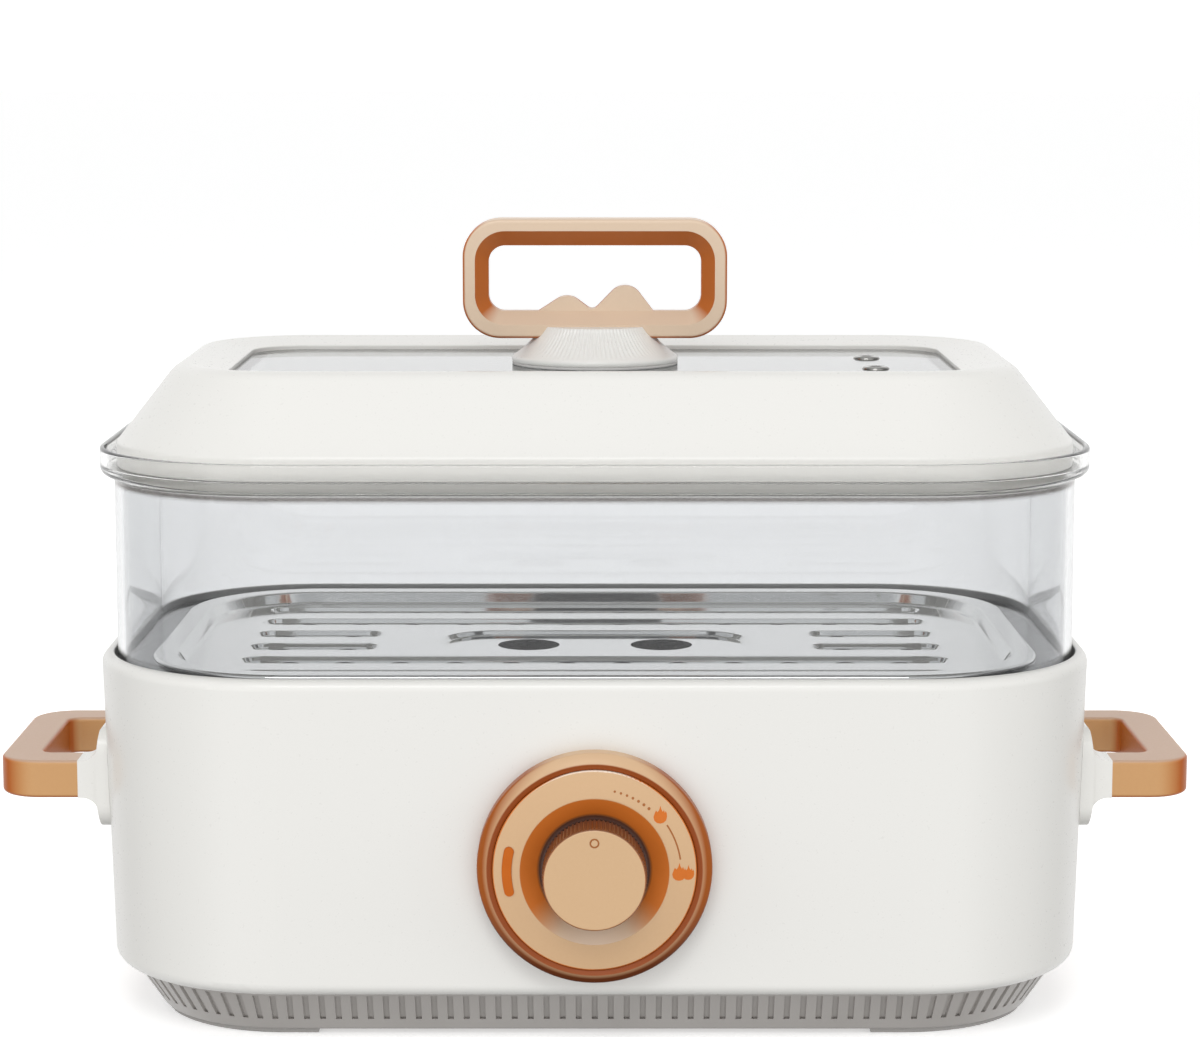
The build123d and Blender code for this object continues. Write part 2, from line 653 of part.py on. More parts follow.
def heater_route():
    """Corner points and bends of the heater: a long U whose two ends turn down."""
    end_z = HEAT_PLATE_Z - HEATER_END_DROP
    points = [
        (-HEATER_LEG_X, -HEATER_LEG_Y, end_z),
        (-HEATER_LEG_X, -HEATER_LEG_Y, HEAT_PLATE_Z),
        (HEATER_LEG_X, -HEATER_LEG_Y, HEAT_PLATE_Z),
        (HEATER_LEG_X, HEATER_LEG_Y, HEAT_PLATE_Z),
        (-HEATER_LEG_X, HEATER_LEG_Y, HEAT_PLATE_Z),
        (-HEATER_LEG_X, HEATER_LEG_Y, end_z)]
    return points, [HEATER_END_BEND, HEATER_BEND, HEATER_BEND, HEATER_END_BEND]


def make_heater():
    return tube(*heater_route(), HEATER_RADIUS)


def make_heat_plate():
    body = plate(HEAT_PLATE_REACH, HEAT_PLATE_Z, HEAT_PLATE_TOP)
    strap_z = HEAT_PLATE_Z - HEATER_RADIUS
    body += [upright_rod(x, 0, STRAP_BOSS_RADIUS, strap_z, HEAT_PLATE_TOP) for x in (-STRAP_X, STRAP_X)]
    body += upright_rod(EARTH_X, EARTH_Y, EARTH_RADIUS, HEAT_PLATE_Z - EARTH_HEIGHT, HEAT_PLATE_TOP)
    body -= tube(*heater_route(), HEATER_RADIUS + FIT)
    for x in (-STRAP_X, STRAP_X):
        body -= upright_rod(x, 0, SCREW_RADIUS + FIT, strap_z - OVERRUN, strap_z + SCREW_BITE)
    groove_start = -(CORE_Y + HEAT_PLATE_REACH) - OVERRUN
    groove_end = BULB_END_Y + FIT
    groove = Pos(BULB_X, (groove_start + groove_end) / 2, HEAT_PLATE_Z) * Rot(90, 0, 0)
    return body - groove * Cylinder(BULB_RADIUS + FIT, groove_end - groove_start)


def make_straps():
    z = HEAT_PLATE_Z - HEATER_RADIUS - STRAP_THICKNESS / 2
    bar = Box(STRAP_WIDTH, STRAP_LENGTH, STRAP_THICKNESS)
    bar -= Cylinder(SCREW_RADIUS + FIT, 2 * STRAP_THICKNESS)
    return [Pos(x, 0, z) * bar for x in (-STRAP_X, STRAP_X)]


def make_strap_screws():
    z = HEAT_PLATE_Z - HEATER_RADIUS - STRAP_THICKNESS
    length = STRAP_THICKNESS + SCREW_BITE - LOOSE
    return [screw((x, 0, z), (0, 0, 1), SCREW_RADIUS, length) for x in (-STRAP_X, STRAP_X)]


def make_cutout():
    low = HEAT_PLATE_Z - CUTOUT_HEIGHT
    body = upright_rod(CUTOUT_X, 0, CUTOUT_RADIUS, low, HEAT_PLATE_Z)
    length = 2 * (CUTOUT_RADIUS + TAB_LENGTH)
    return body + Pos(CUTOUT_X, 0, CUTOUT_TAB_Z) * Box(TAB_WIDTH, length, TAB_THICKNESS)


def make_sensor():
    far = BULB_END_Y - BULB_LENGTH
    middle = Pos(BULB_X, (BULB_END_Y + far) / 2, HEAT_PLATE_Z)
    bulb = middle * Rot(90, 0, 0) * Cylinder(BULB_RADIUS, BULB_LENGTH)
    route = [
        (BULB_X, far + OVERRUN, HEAT_PLATE_Z),
        (BULB_X, TERMINAL_Y, HEAT_PLATE_Z),
        (BULB_X, TERMINAL_Y, DIAL_Z - THERMOSTAT_SIZE / 2)]
    return bulb + tube(route, [CAPILLARY_BEND], CAPILLARY_RADIUS)


def make_shield():
    return plate(SHIELD_REACH, SHIELD_Z, SHIELD_Z + SHIELD_SHEET)


# Control dial

def face_front(radius):
    """Distance forward of the dial face's shallow cone at a radius."""
    return FACE_EDGE + (FACE_RADIUS - radius) / (FACE_RADIUS - DISH_RADIUS) * (DISH_EDGE - FACE_EDGE)


def lens_slot(width, near, far):
    """Curved slot with round ends at nine o'clock on the dial, as a block along the dial's axis."""
    reach = radians(LENS_HALF_ANGLE)
    start = (-LENS_RING * cos(reach), -LENS_RING * sin(reach))
    end = (-LENS_RING * cos(reach), LENS_RING * sin(reach))
    arc = Edge.make_three_point_arc(start, (-LENS_RING, 0), end)
    plane = Plane((0, DIAL_Y - near, DIAL_Z), x_dir=(1, 0, 0), z_dir=(0, -1, 0))
    return extrude(plane * SlotArc(arc, width), far - near)


def make_dial_face(envelope):
    skirt_inner = FACE_RADIUS - DIAL_WALL
    body = turned(outline(
        (THERMOSTAT_BUSH_RADIUS + FIT, DISH_FLOOR - DIAL_WALL),
        (THERMOSTAT_BUSH_RADIUS + FIT, DISH_FLOOR),
        (DISH_FLOOR_RADIUS, DISH_FLOOR, DISH_ROUND),
        (DISH_RADIUS, DISH_EDGE, EDGE),
        (FACE_RADIUS, FACE_EDGE, EDGE),
        (FACE_RADIUS, -DIAL_SUNK),
        (skirt_inner, -DIAL_SUNK),
        (skirt_inner, face_front(skirt_inner) - DIAL_WALL),
        (DISH_RADIUS, DISH_EDGE - DIAL_WALL),
        (DISH_FLOOR_RADIUS + DIAL_WALL / 2, DISH_FLOOR - DIAL_WALL)))
    for x, z in dial_boss_places():
        body += dial_rod(x, z, DIAL_BOSS_RADIUS, -DIAL_SUNK, FACE_EDGE - DIAL_WALL / 2)
        body -= dial_rod(x, z, SCREW_RADIUS + FIT, -DIAL_SUNK, FACE_EDGE - DIAL_WALL)
    for x in (-THERMOSTAT_EAR_X, THERMOSTAT_EAR_X):
        body += dial_rod(x, 0, 2 * SCREW_RADIUS, DISH_FLOOR - DIAL_WALL, DISH_FLOOR)
        body -= dial_rod(x, 0, SCREW_RADIUS + FIT, -DIAL_SUNK, DISH_FLOOR + LOOSE)
    body -= lens_slot(LENS_WIDTH + 2 * FIT, DIAL_SUNK, KNOB_FRONT)
    return body - envelope


def make_bezel(envelope):
    inner = FACE_RADIUS + DIAL_GAP
    body = turned(outline(
        (inner, -DIAL_SUNK),
        (inner, BEZEL_FRONT, BEZEL_ROUND),
        (BEZEL_RADIUS, BEZEL_EDGE, BEZEL_SHOULDER),
        (BEZEL_RADIUS, -DIAL_SUNK)))
    return body - envelope


def make_lens():
    inner = LENS_RING - LENS_WIDTH
    outer = FACE_RADIUS - LOOSE
    slab = turned(outline(
        (inner, LENS_BACK), (inner, face_front(inner) + LENS_PROUD),
        (outer, face_front(outer) + LENS_PROUD), (outer, LENS_BACK)))
    return lens_slot(LENS_WIDTH, LENS_BACK, KNOB_FRONT) & slab


def make_lamp():
    return Pos(LAMP_X, LAMP_Y, DIAL_Z) * Cylinder(LAMP_RADIUS, LAMP_LENGTH)


def make_dial_screws():
    screws = []
    for x, z in dial_boss_places():
        seat = -(CORE_Y + wall_reach(DIAL_Z + z) - HOUSING_WALL) + SCREW_SEAT_GAP
        length = HOUSING_WALL + FACE_EDGE - DIAL_WALL - LOOSE
        screws.append(screw((x, seat, DIAL_Z + z), (0, -1, 0), SCREW_RADIUS, length))
    return screws


def make_thermostat():
    side = THERMOSTAT_SIZE
    middle_y = THERMOSTAT_Y + THERMOSTAT_DEPTH / 2
    block = Box(side, THERMOSTAT_DEPTH, side)
    body = Pos(0, middle_y, DIAL_Z) * fillet(block.edges().filter_by(Axis.Y), THERMOSTAT_CORNER)
    ear_span = 2 * THERMOSTAT_EAR_X + THERMOSTAT_EAR_WIDTH
    ears = Box(ear_span, THERMOSTAT_EAR_THICKNESS, THERMOSTAT_EAR_WIDTH)
    body += Pos(0, THERMOSTAT_Y + THERMOSTAT_EAR_THICKNESS / 2, DIAL_Z) * ears
    body += dial_rod(0, 0, THERMOSTAT_BUSH_RADIUS, DIAL_Y - THERMOSTAT_Y, DISH_FLOOR - FIT)
    bore_end = DIAL_Y - THERMOSTAT_Y - THERMOSTAT_BORE
    body -= dial_rod(0, 0, SHAFT_RADIUS + SHAFT_PLAY, bore_end, DISH_FLOOR)
    for x in (-THERMOSTAT_EAR_X, THERMOSTAT_EAR_X):
        body -= dial_rod(x, 0, SCREW_RADIUS + FIT, 0, DISH_FLOOR)
    tab = Box(TAB_WIDTH, TAB_THICKNESS, TAB_LENGTH)
    z = TERMINAL_Z + TAB_LENGTH / 2
    return body + [Pos(x, TERMINAL_Y, z) * tab for x in (-PIN_SPREAD, PIN_SPREAD)]


def make_thermostat_screws():
    seat = THERMOSTAT_Y + THERMOSTAT_EAR_THICKNESS
    length = THERMOSTAT_EAR_THICKNESS + DIAL_WALL
    places = [(x, seat, DIAL_Z) for x in (-THERMOSTAT_EAR_X, THERMOSTAT_EAR_X)]
    return [screw(place, (0, -1, 0), SCREW_RADIUS, length) for place in places]


def make_knob():
    cap_back = KNOB_FRONT - KNOB_CAP_HEIGHT
    plane = Plane((0, DIAL_Y - KNOB_BACK, DIAL_Z), x_dir=(1, 0, 0), z_dir=(0, -1, 0))
    points = []
    for index in range(2 * KNOB_TEETH):
        angle = pi * index / KNOB_TEETH
        radius = KNOB_RADIUS - KNOB_TOOTH_DEPTH * (index % 2)
        points.append((radius * cos(angle), radius * sin(angle)))
    body = extrude(plane * make_face(Polyline(*points, close=True)), cap_back - KNOB_BACK)
    body += turned(outline(
        (0, cap_back), (KNOB_CAP_RADIUS, cap_back),
        (KNOB_CAP_RADIUS, KNOB_FRONT, KNOB_EDGE), (0, KNOB_FRONT)))
    hollow = cap_back - KNOB_SHELL
    body -= turned(outline(
        (KNOB_HUB_RADIUS, KNOB_BACK), (KNOB_RADIUS - KNOB_SHELL, KNOB_BACK),
        (KNOB_RADIUS - KNOB_SHELL, hollow), (KNOB_HUB_RADIUS, hollow)))
    body -= dial_rod(0, 0, SHAFT_RADIUS + FIT, KNOB_BACK, KNOB_BACK + SHAFT_GRIP)
    mark_floor = KNOB_FRONT - KNOB_MARK_DEPTH
    groove = dial_rod(0, KNOB_MARK_RING, KNOB_MARK_RADIUS, mark_floor, KNOB_FRONT)
    groove -= dial_rod(0, KNOB_MARK_RING, KNOB_MARK_RADIUS - KNOB_MARK_LINE, mark_floor, KNOB_FRONT)
    return body - groove


def make_shaft():
    inner_end = DIAL_Y - THERMOSTAT_Y - THERMOSTAT_BORE + LOOSE
    return dial_rod(0, 0, SHAFT_RADIUS, inner_end, KNOB_BACK + SHAFT_GRIP)


# Wires

def wire(points, bend=WIRE_BEND, radius=WIRE_RADIUS):
    """Wire along straight runs, with the same bend at every corner."""
    return tube(points, [bend] * (len(points) - 2), radius)


def make_wires():
    pin_z = INLET_Z + PIN_RISE
    earth_z = INLET_Z - EARTH_PIN_DROP
    tab_y = INLET_TAB_Y
    fall_y = tab_y - WIRE_LEAD - WIRE_FALL
    heater_z = HEAT_PLATE_Z - HEATER_END_DROP
    cutout_y = CUTOUT_RADIUS + TAB_LENGTH
    side_x = -HEATER_LEG_X - WIRE_SIDE_GAP
    turn_y = HEATER_LEG_Y + WIRE_FALL
    stud_z = HEAT_PLATE_Z - EARTH_HEIGHT / 2
    live = [
        (PIN_SPREAD, tab_y, pin_z), (PIN_SPREAD, tab_y - WIRE_LEAD, pin_z), (PIN_SPREAD, fall_y, WIRE_Z),
        (PIN_SPREAD, TERMINAL_Y, WIRE_Z), (PIN_SPREAD, TERMINAL_Y, TERMINAL_Z)]
    switched = [
        (-PIN_SPREAD, TERMINAL_Y, TERMINAL_Z), (-PIN_SPREAD, TERMINAL_Y, WIRE_Z),
        (CUTOUT_X, SWITCHED_WIRE_Y, WIRE_Z), (CUTOUT_X, -cutout_y - WIRE_LEAD, CUTOUT_TAB_Z),
        (CUTOUT_X, -cutout_y, CUTOUT_TAB_Z)]
    to_heater = [
        (CUTOUT_X, cutout_y, CUTOUT_TAB_Z), (CUTOUT_X, turn_y, CUTOUT_TAB_Z),
        (-HEATER_LEG_X, turn_y, WIRE_Z), (-HEATER_LEG_X, HEATER_LEG_Y, WIRE_Z),
        (-HEATER_LEG_X, HEATER_LEG_Y, heater_z)]
    neutral = [
        (-PIN_SPREAD, tab_y, pin_z), (-PIN_SPREAD, tab_y - WIRE_LEAD, pin_z),
        (WIRE_CROSS_X, WIRE_CROSS_Y, WIRE_Z), (side_x, WIRE_CROSS_Y, WIRE_Z),
        (side_x, -HEATER_LEG_Y, WIRE_Z), (-HEATER_LEG_X, -HEATER_LEG_Y, WIRE_Z),
        (-HEATER_LEG_X, -HEATER_LEG_Y, heater_z)]
    earth = [
        (0, tab_y, earth_z), (0, tab_y - EARTH_WIRE_LEAD, earth_z),
        (EARTH_X, tab_y - EARTH_WIRE_LEAD - EARTH_WIRE_FALL, stud_z),
        (EARTH_X, EARTH_Y + EARTH_RADIUS, stud_z)]
    lamp_end = DIAL_Z - LAMP_LENGTH / 2
    lamp_low = lamp_end - LAMP_WIRE_LEAD
    lamp_side = -THERMOSTAT_SIZE / 2
    lamp = [
        (LAMP_X, LAMP_Y, lamp_end), (LAMP_X, LAMP_Y, lamp_low),
        (lamp_side - LAMP_WIRE_GAP, LAMP_Y, lamp_low),
        (lamp_side - LAMP_WIRE_GAP, TERMINAL_Y, lamp_low), (lamp_side, TERMINAL_Y, lamp_low)]
    return [
        wire(live), wire(switched), wire(to_heater, HEATER_WIRE_BEND), wire(neutral, HEATER_WIRE_BEND),
        wire(earth, EARTH_WIRE_BEND), wire(lamp, LAMP_WIRE_BEND, LAMP_WIRE_RADIUS)]


# Side handles, right-hand one drawn, left-hand one mirrored

def tenon_block(play, length):
    """Square tongue at each end of the grip that enters the bracket."""
    width = GRIP_OUTER_Y - GRIP_INNER_Y - 2 * TENON_INSET + 2 * play
    height = GRIP_TOP - GRIP_BOTTOM - 2 * TENON_INSET + 2 * play
    block = Pos(SLEEVE_X - length / 2, 0, GRIP_Z) * Box(length, width, height)
    return [Pos(0, y, 0) * block for y in (-GRIP_Y, GRIP_Y)]


def make_grip():
    sketch = outline(
        (SLEEVE_X, -GRIP_OUTER_Y),
        (GRIP_OUTER_X, -GRIP_OUTER_Y, GRIP_CORNER),
        (GRIP_OUTER_X, GRIP_OUTER_Y, GRIP_CORNER),
        (SLEEVE_X, GRIP_OUTER_Y),
        (SLEEVE_X, GRIP_INNER_Y),
        (GRIP_INNER_X, GRIP_INNER_Y, GRIP_INNER_CORNER),
        (GRIP_INNER_X, -GRIP_INNER_Y, GRIP_INNER_CORNER),
        (SLEEVE_X, -GRIP_INNER_Y))
    body = Pos(0, 0, GRIP_BOTTOM) * extrude(sketch, GRIP_TOP - GRIP_BOTTOM)
    level = body.edges().filter_by(lambda edge: abs(edge.tangent_at(0.5).Z) < 0.5)
    long_edges = [edge for edge in level if edge.center().X > SLEEVE_X + GRIP_EDGE]
    body = fillet(long_edges, GRIP_EDGE) + tenon_block(0, TENON_LENGTH)
    return body - handle_screw_holes()


def handle_screw_length():
    """Shank from the inside of the housing wall into the grip."""
    x, _, _ = handle_screw_places()[0]
    return SLEEVE_X - TENON_LENGTH - x + HANDLE_SCREW_BITE


def handle_screw_holes():
    """Clearance for the handle's two screws."""
    length = handle_screw_length() + FIT
    hole = Rot(0, 90, 0) * Cylinder(HANDLE_SCREW_RADIUS + FIT, length)
    return [Pos(x + length / 2, y, z) * hole for x, y, z in handle_screw_places()]


def make_bracket(envelope):
    wall_x = CORE_X + wall_reach(HOUSING_Z) - HOUSING_WALL
    flared = outline(
        (wall_x, BRACKET_BOTTOM),
        (BRACKET_EDGE_X, BRACKET_BOTTOM, BRACKET_ROUND),
        (BRACKET_X, GRIP_BOTTOM, BRACKET_FLARE),
        (SLEEVE_X, GRIP_BOTTOM),
        (SLEEVE_X, GRIP_TOP),
        (BRACKET_X, GRIP_TOP, BRACKET_FLARE),
        (BRACKET_EDGE_X, BRACKET_TOP, BRACKET_ROUND),
        (wall_x, BRACKET_TOP))
    flat = outline(
        (wall_x, BRACKET_BOTTOM),
        (BRACKET_EDGE_X, BRACKET_BOTTOM, BRACKET_ROUND),
        (BRACKET_X, GRIP_BOTTOM),
        (BRACKET_X, GRIP_TOP),
        (BRACKET_EDGE_X, BRACKET_TOP, BRACKET_ROUND),
        (wall_x, BRACKET_TOP))
    upright = Plane.XZ
    body = extrude(upright * flat, BRACKET_HALF_Y, both=True)
    width = GRIP_OUTER_Y - GRIP_INNER_Y
    for start in (GRIP_OUTER_Y, -GRIP_INNER_Y):
        body += Pos(0, start, 0) * extrude(upright * flared, width)
    middle = (wall_x, 0, (BRACKET_TOP + BRACKET_BOTTOM) / 2)
    side_plane = Plane(middle, x_dir=(0, 1, 0), z_dir=(1, 0, 0))
    shape = RectangleRounded(2 * BRACKET_HALF_Y, BRACKET_TOP - BRACKET_BOTTOM, BRACKET_CORNER)
    body = body & extrude(side_plane * shape, GRIP_OUTER_X - wall_x)
    return body - [envelope] - tenon_block(FIT, TENON_LENGTH + FIT) - handle_screw_holes()


def make_handle_screws():
    length = handle_screw_length()
    right = [screw(place, (1, 0, 0), HANDLE_SCREW_RADIUS, length) for place in handle_screw_places()]
    return right + [mirror(piece, about=Plane.YZ) for piece in right]


# Power inlet

def make_inlet(envelope):
    front_y = BACK_Y + INLET_FLANGE
    depth = INLET_DEPTH + INLET_FLANGE
    body = Pos(0, front_y - depth / 2, INLET_Z) * Box(INLET_WIDTH, depth, INLET_HEIGHT)
    plane = Plane((0, BACK_Y - HOUSING_WALL, INLET_Z), x_dir=(-1, 0, 0), z_dir=(0, 1, 0))
    sheet = RectangleRounded(INLET_FLANGE_WIDTH, INLET_FLANGE_HEIGHT, INLET_FLANGE_CORNER)
    body += extrude(plane * sheet, INLET_FLANGE + HOUSING_WALL) - [envelope]
    half_width = SOCKET_WIDTH / 2
    half_height = SOCKET_HEIGHT / 2
    mouth = outline(
        (-half_width, -half_height), (half_width, -half_height),
        (half_width, half_height - SOCKET_CORNER), (half_width - SOCKET_CORNER, half_height),
        (SOCKET_CORNER - half_width, half_height), (-half_width, half_height - SOCKET_CORNER))
    socket_plane = Plane((0, front_y, INLET_Z), x_dir=(-1, 0, 0), z_dir=(0, 1, 0))
    body -= extrude(socket_plane * mouth, -SOCKET_DEPTH)
    pin_hole = Box(PIN_WIDTH + 2 * FIT, INLET_DEPTH, PIN_HEIGHT + 2 * FIT)
    for x, z in pin_places():
        body -= Pos(x, BACK_Y - INLET_DEPTH, z) * pin_hole
    for x in (-INLET_SCREW_X, INLET_SCREW_X):
        body -= Pos(x, BACK_Y, INLET_Z) * Rot(90, 0, 0) * Cylinder(SCREW_RADIUS + FIT, 4 * INLET_FLANGE)
    return body


def pin_places():
    """(x, z) of the live, neutral and earth pins."""
    z = INLET_Z + PIN_RISE
    return [(PIN_SPREAD, z), (-PIN_SPREAD, z), (0, INLET_Z - EARTH_PIN_DROP)]


def make_pins():
    start = BACK_Y - INLET_DEPTH
    floor = BACK_Y + INLET_FLANGE - SOCKET_DEPTH
    length = floor + PIN_LENGTH - start
    pin = Pos(0, start + length / 2, 0) * Box(PIN_WIDTH, length, PIN_HEIGHT)
    pin += Pos(0, start - TAB_LENGTH / 2, 0) * Box(TAB_THICKNESS, TAB_LENGTH, PIN_HEIGHT)
    return [Pos(x, 0, z) * pin for x, z in pin_places()]


def make_inlet_screws():
    length = INLET_FLANGE + 2 * HOUSING_WALL
    places = [(x, BACK_Y + INLET_FLANGE, INLET_Z) for x in (-INLET_SCREW_X, INLET_SCREW_X)]
    return [screw(place, (0, -1, 0), SCREW_RADIUS, length) for place in places]


# Steamer box

def make_box():
    rim_inner = RIM_REACH - RIM_WALL
    rim_low = BOX_RIM_Z - RIM_HEIGHT
    wall = ring(outline(
        (BOX_INNER_REACH, BOX_Z),
        (BOX_REACH, BOX_Z, EDGE),
        (BOX_REACH, rim_low, RIM_NECK_ROUND),
        (RIM_REACH, rim_low, RIM_ROUND),
        (RIM_REACH, BOX_RIM_Z, SOFT_EDGE),
        (rim_inner, BOX_RIM_Z, SOFT_EDGE),
        (rim_inner, LID_SEAT_Z, EDGE),
        (BOX_INNER_REACH, LID_SEAT_Z, EDGE)))
    low = TRAY_SEAT_Z - TRAY_SEAT_THICKNESS
    seat = plate(BOX_INNER_REACH + BOX_WALL / 2, low, TRAY_SEAT_Z)
    opening = plate(TRAY_OPENING_REACH, low - OVERRUN, TRAY_SEAT_Z + OVERRUN, TRAY_CORE_X, TRAY_CORE_Y)
    return wall + (seat - opening)


# Steam tray

def channel_row(index):
    """Y of a row of channels, counted from the front."""
    return (index - LONG_ROWS[-1] / 2) * CHANNEL_PITCH


def short_channel_places():
    """Middles of the short channels left and right of the oval."""
    x = CHANNEL_HALF_LENGTH - SHORT_CHANNEL_LENGTH / 2
    return [(side, channel_row(index)) for index in SHORT_ROWS for side in (-x, x)]


def channels():
    """(x, y, length, width) of every pressed channel."""
    places = [(0, channel_row(index), 2 * CHANNEL_HALF_LENGTH, CHANNEL_WIDTH) for index in LONG_ROWS]
    places += [(x, y, SHORT_CHANNEL_LENGTH, CHANNEL_WIDTH) for x, y in short_channel_places()]
    return places + [(0, 0, OVAL_LENGTH, OVAL_WIDTH)]


def pressing(x, y, length, width, top):
    """Slot with leaning sides, pressed down from a level."""
    slot = Pos(x, y, top) * SlotOverall(length, width)
    return extrude(slot, TRAY_CHANNEL_DEPTH, dir=(0, 0, -1), taper=CHANNEL_LEAN)


def steam_holes():
    """(x, y) of every round steam hole."""
    places = []
    for index in LONG_ROWS:
        for step in range(STEAM_HOLES_PER_ROW):
            x = (step - (STEAM_HOLES_PER_ROW - 1) / 2) * STEAM_HOLE_PITCH
            places.append((x, channel_row(index)))
    for x, y in short_channel_places():
        places += [(x - SHORT_HOLE_PITCH / 2, y), (x + SHORT_HOLE_PITCH / 2, y)]
    return places


def make_tray():
    top = TRAY_SEAT_Z + TRAY_HEM
    floor = top - TRAY_DEPTH
    under = floor - TRAY_SHEET
    bowl = TRAY_REACH - TRAY_FLANGE_WIDTH
    step = TRAY_SHEET / 2
    body = ring(outline(
        (TRAY_REACH, TRAY_SEAT_Z),
        (TRAY_REACH, top, TRAY_BEND),
        (bowl, top, TRAY_BEND),
        (bowl - TRAY_WALL_RUN, floor, TRAY_BEND),
        (0, floor),
        (0, under),
        (bowl - TRAY_WALL_RUN + step, under, TRAY_BEND),
        (bowl + step, top - TRAY_SHEET, TRAY_BEND / 2),
        (TRAY_REACH - TRAY_SHEET, top - TRAY_SHEET, TRAY_BEND - TRAY_SHEET),
        (TRAY_REACH - TRAY_SHEET, TRAY_SEAT_Z)), TRAY_CORE_X, TRAY_CORE_Y)
    body += core_slab(under, floor, TRAY_CORE_X, TRAY_CORE_Y)
    lean = radians(CHANNEL_LEAN)
    wider = 2 * TRAY_SHEET * (1 / cos(lean) - tan(lean))
    for x, y, length, width in channels():
        body += pressing(x, y, length + wider, width + wider, under)
    for x, y, length, width in channels():
        hollow = pressing(x, y, length, width, floor)
        body -= fillet(hollow.edges().group_by(Axis.Z)[0], CHANNEL_FLOOR_ROUND)
    level_faces = body.faces().filter_by(lambda face: abs(face.center().Z - floor) < FIT)
    floor_face = level_faces.sort_by(SortBy.AREA)[-1]
    edges = [edge for rim in floor_face.inner_wires() for edge in rim.edges()]
    body = fillet(edges, CHANNEL_EDGE_ROUND)
    low = under - 2 * TRAY_CHANNEL_DEPTH
    holes = [upright_rod(x, y, STEAM_HOLE_RADIUS, low, top) for x, y in steam_holes()]
    holes += [upright_rod(x, 0, FINGER_HOLE_RADIUS, low, top) for x in (-FINGER_HOLE_X, FINGER_HOLE_X)]
    return body - holes


# Lid

def make_lid_frame():
    lip_outer = BOX_INNER_REACH - LOOSE
    lip_inner = lip_outer - LID_LIP_WALL
    band_top = LID_SEAT_Z + LID_BAND_HEIGHT
    edge = (WINDOW_REACH, WINDOW_EDGE_Z)
    crest = meeting((LID_REACH, band_top), -LID_SLOPE, edge, LID_TOP_FALL)
    slope_inside = (LID_REACH - LID_WALL / sin(radians(LID_SLOPE)), band_top)
    top_inside = (WINDOW_REACH, WINDOW_EDGE_Z - LID_WALL / cos(radians(LID_TOP_FALL)))
    rim_inside = WINDOW_REACH + LID_WALL
    hollow_edge_z = top_inside[1] + (rim_inside - top_inside[0]) * tan(radians(LID_TOP_FALL))
    hollow_crest = meeting(slope_inside, -LID_SLOPE, top_inside, LID_TOP_FALL)
    skirt_z = slope_inside[1] + (slope_inside[0] - lip_inner) * tan(radians(LID_SLOPE))
    ledge_top = PANE_Z - GASKET_THICKNESS
    ledge_low = ledge_top - WINDOW_LEDGE_THICKNESS
    ledge_inner = WINDOW_REACH - WINDOW_LEDGE_WIDTH
    return ring(outline(
        (lip_outer, LID_SEAT_Z),
        (LID_REACH, LID_SEAT_Z, EDGE),
        (LID_REACH, band_top, LID_BAND_ROUND),
        (*crest, LID_CREST_ROUND),
        (*edge, EDGE),
        (WINDOW_REACH, ledge_top),
        (ledge_inner, ledge_top),
        (ledge_inner, ledge_low),
        (rim_inside, ledge_low),
        (rim_inside, hollow_edge_z),
        (*hollow_crest, LID_CREST_ROUND - LID_WALL),
        (lip_inner, skirt_z),
        (lip_inner, LID_SEAT_Z - LID_LIP_DEPTH, EDGE),
        (lip_outer, LID_SEAT_Z - LID_LIP_DEPTH, EDGE)))


def lid_screw_holes(radius, low, high):
    """Clearance for the two screws of the lid handle."""
    return [upright_rod(x, 0, radius, low, high) for x in (-LID_SCREW_X, LID_SCREW_X)]


def make_window():
    pane = plate(WINDOW_REACH - PANE_GAP, PANE_Z, PANE_TOP)
    low = PANE_Z - OVERRUN
    high = PANE_TOP + OVERRUN
    pane -= [upright_rod(VENT_X, y, VENT_STEM_RADIUS + FIT, low, high) for y in (-VENT_Y, VENT_Y)]
    return pane - lid_screw_holes(LID_SCREW_RADIUS + LID_SCREW_PLAY, low, high)


def make_window_gasket():
    low = PANE_Z - GASKET_THICKNESS
    inner = WINDOW_REACH - WINDOW_LEDGE_WIDTH + FIT
    outer = WINDOW_REACH - PANE_GAP
    return ring(outline((inner, low), (outer, low), (outer, PANE_Z), (inner, PANE_Z)))


def make_vents():
    eyelets = []
    for y in (-VENT_Y, VENT_Y):
        eyelet = upright_rod(VENT_X, y, VENT_STEM_RADIUS, PANE_Z, PANE_TOP)
        eyelet += upright_rod(VENT_X, y, VENT_RADIUS, PANE_TOP, PANE_TOP + VENT_FLANGE)
        eyelet += upright_rod(VENT_X, y, VENT_RADIUS, PANE_Z - VENT_FLANGE, PANE_Z)
        bore = upright_rod(VENT_X, y, VENT_BORE_RADIUS, PANE_Z - 2 * VENT_FLANGE, PANE_TOP + 2 * VENT_FLANGE)
        eyelets.append(eyelet - bore)
    return eyelets


def make_pedestal_gasket():
    pad = upright_rod(0, 0, PEDESTAL_RADIUS - PEDESTAL_GASKET_INSET, PANE_TOP, PEDESTAL_Z)
    return pad - lid_screw_holes(LID_SCREW_RADIUS + LID_SCREW_PLAY, PANE_Z, PEDESTAL_TOP)


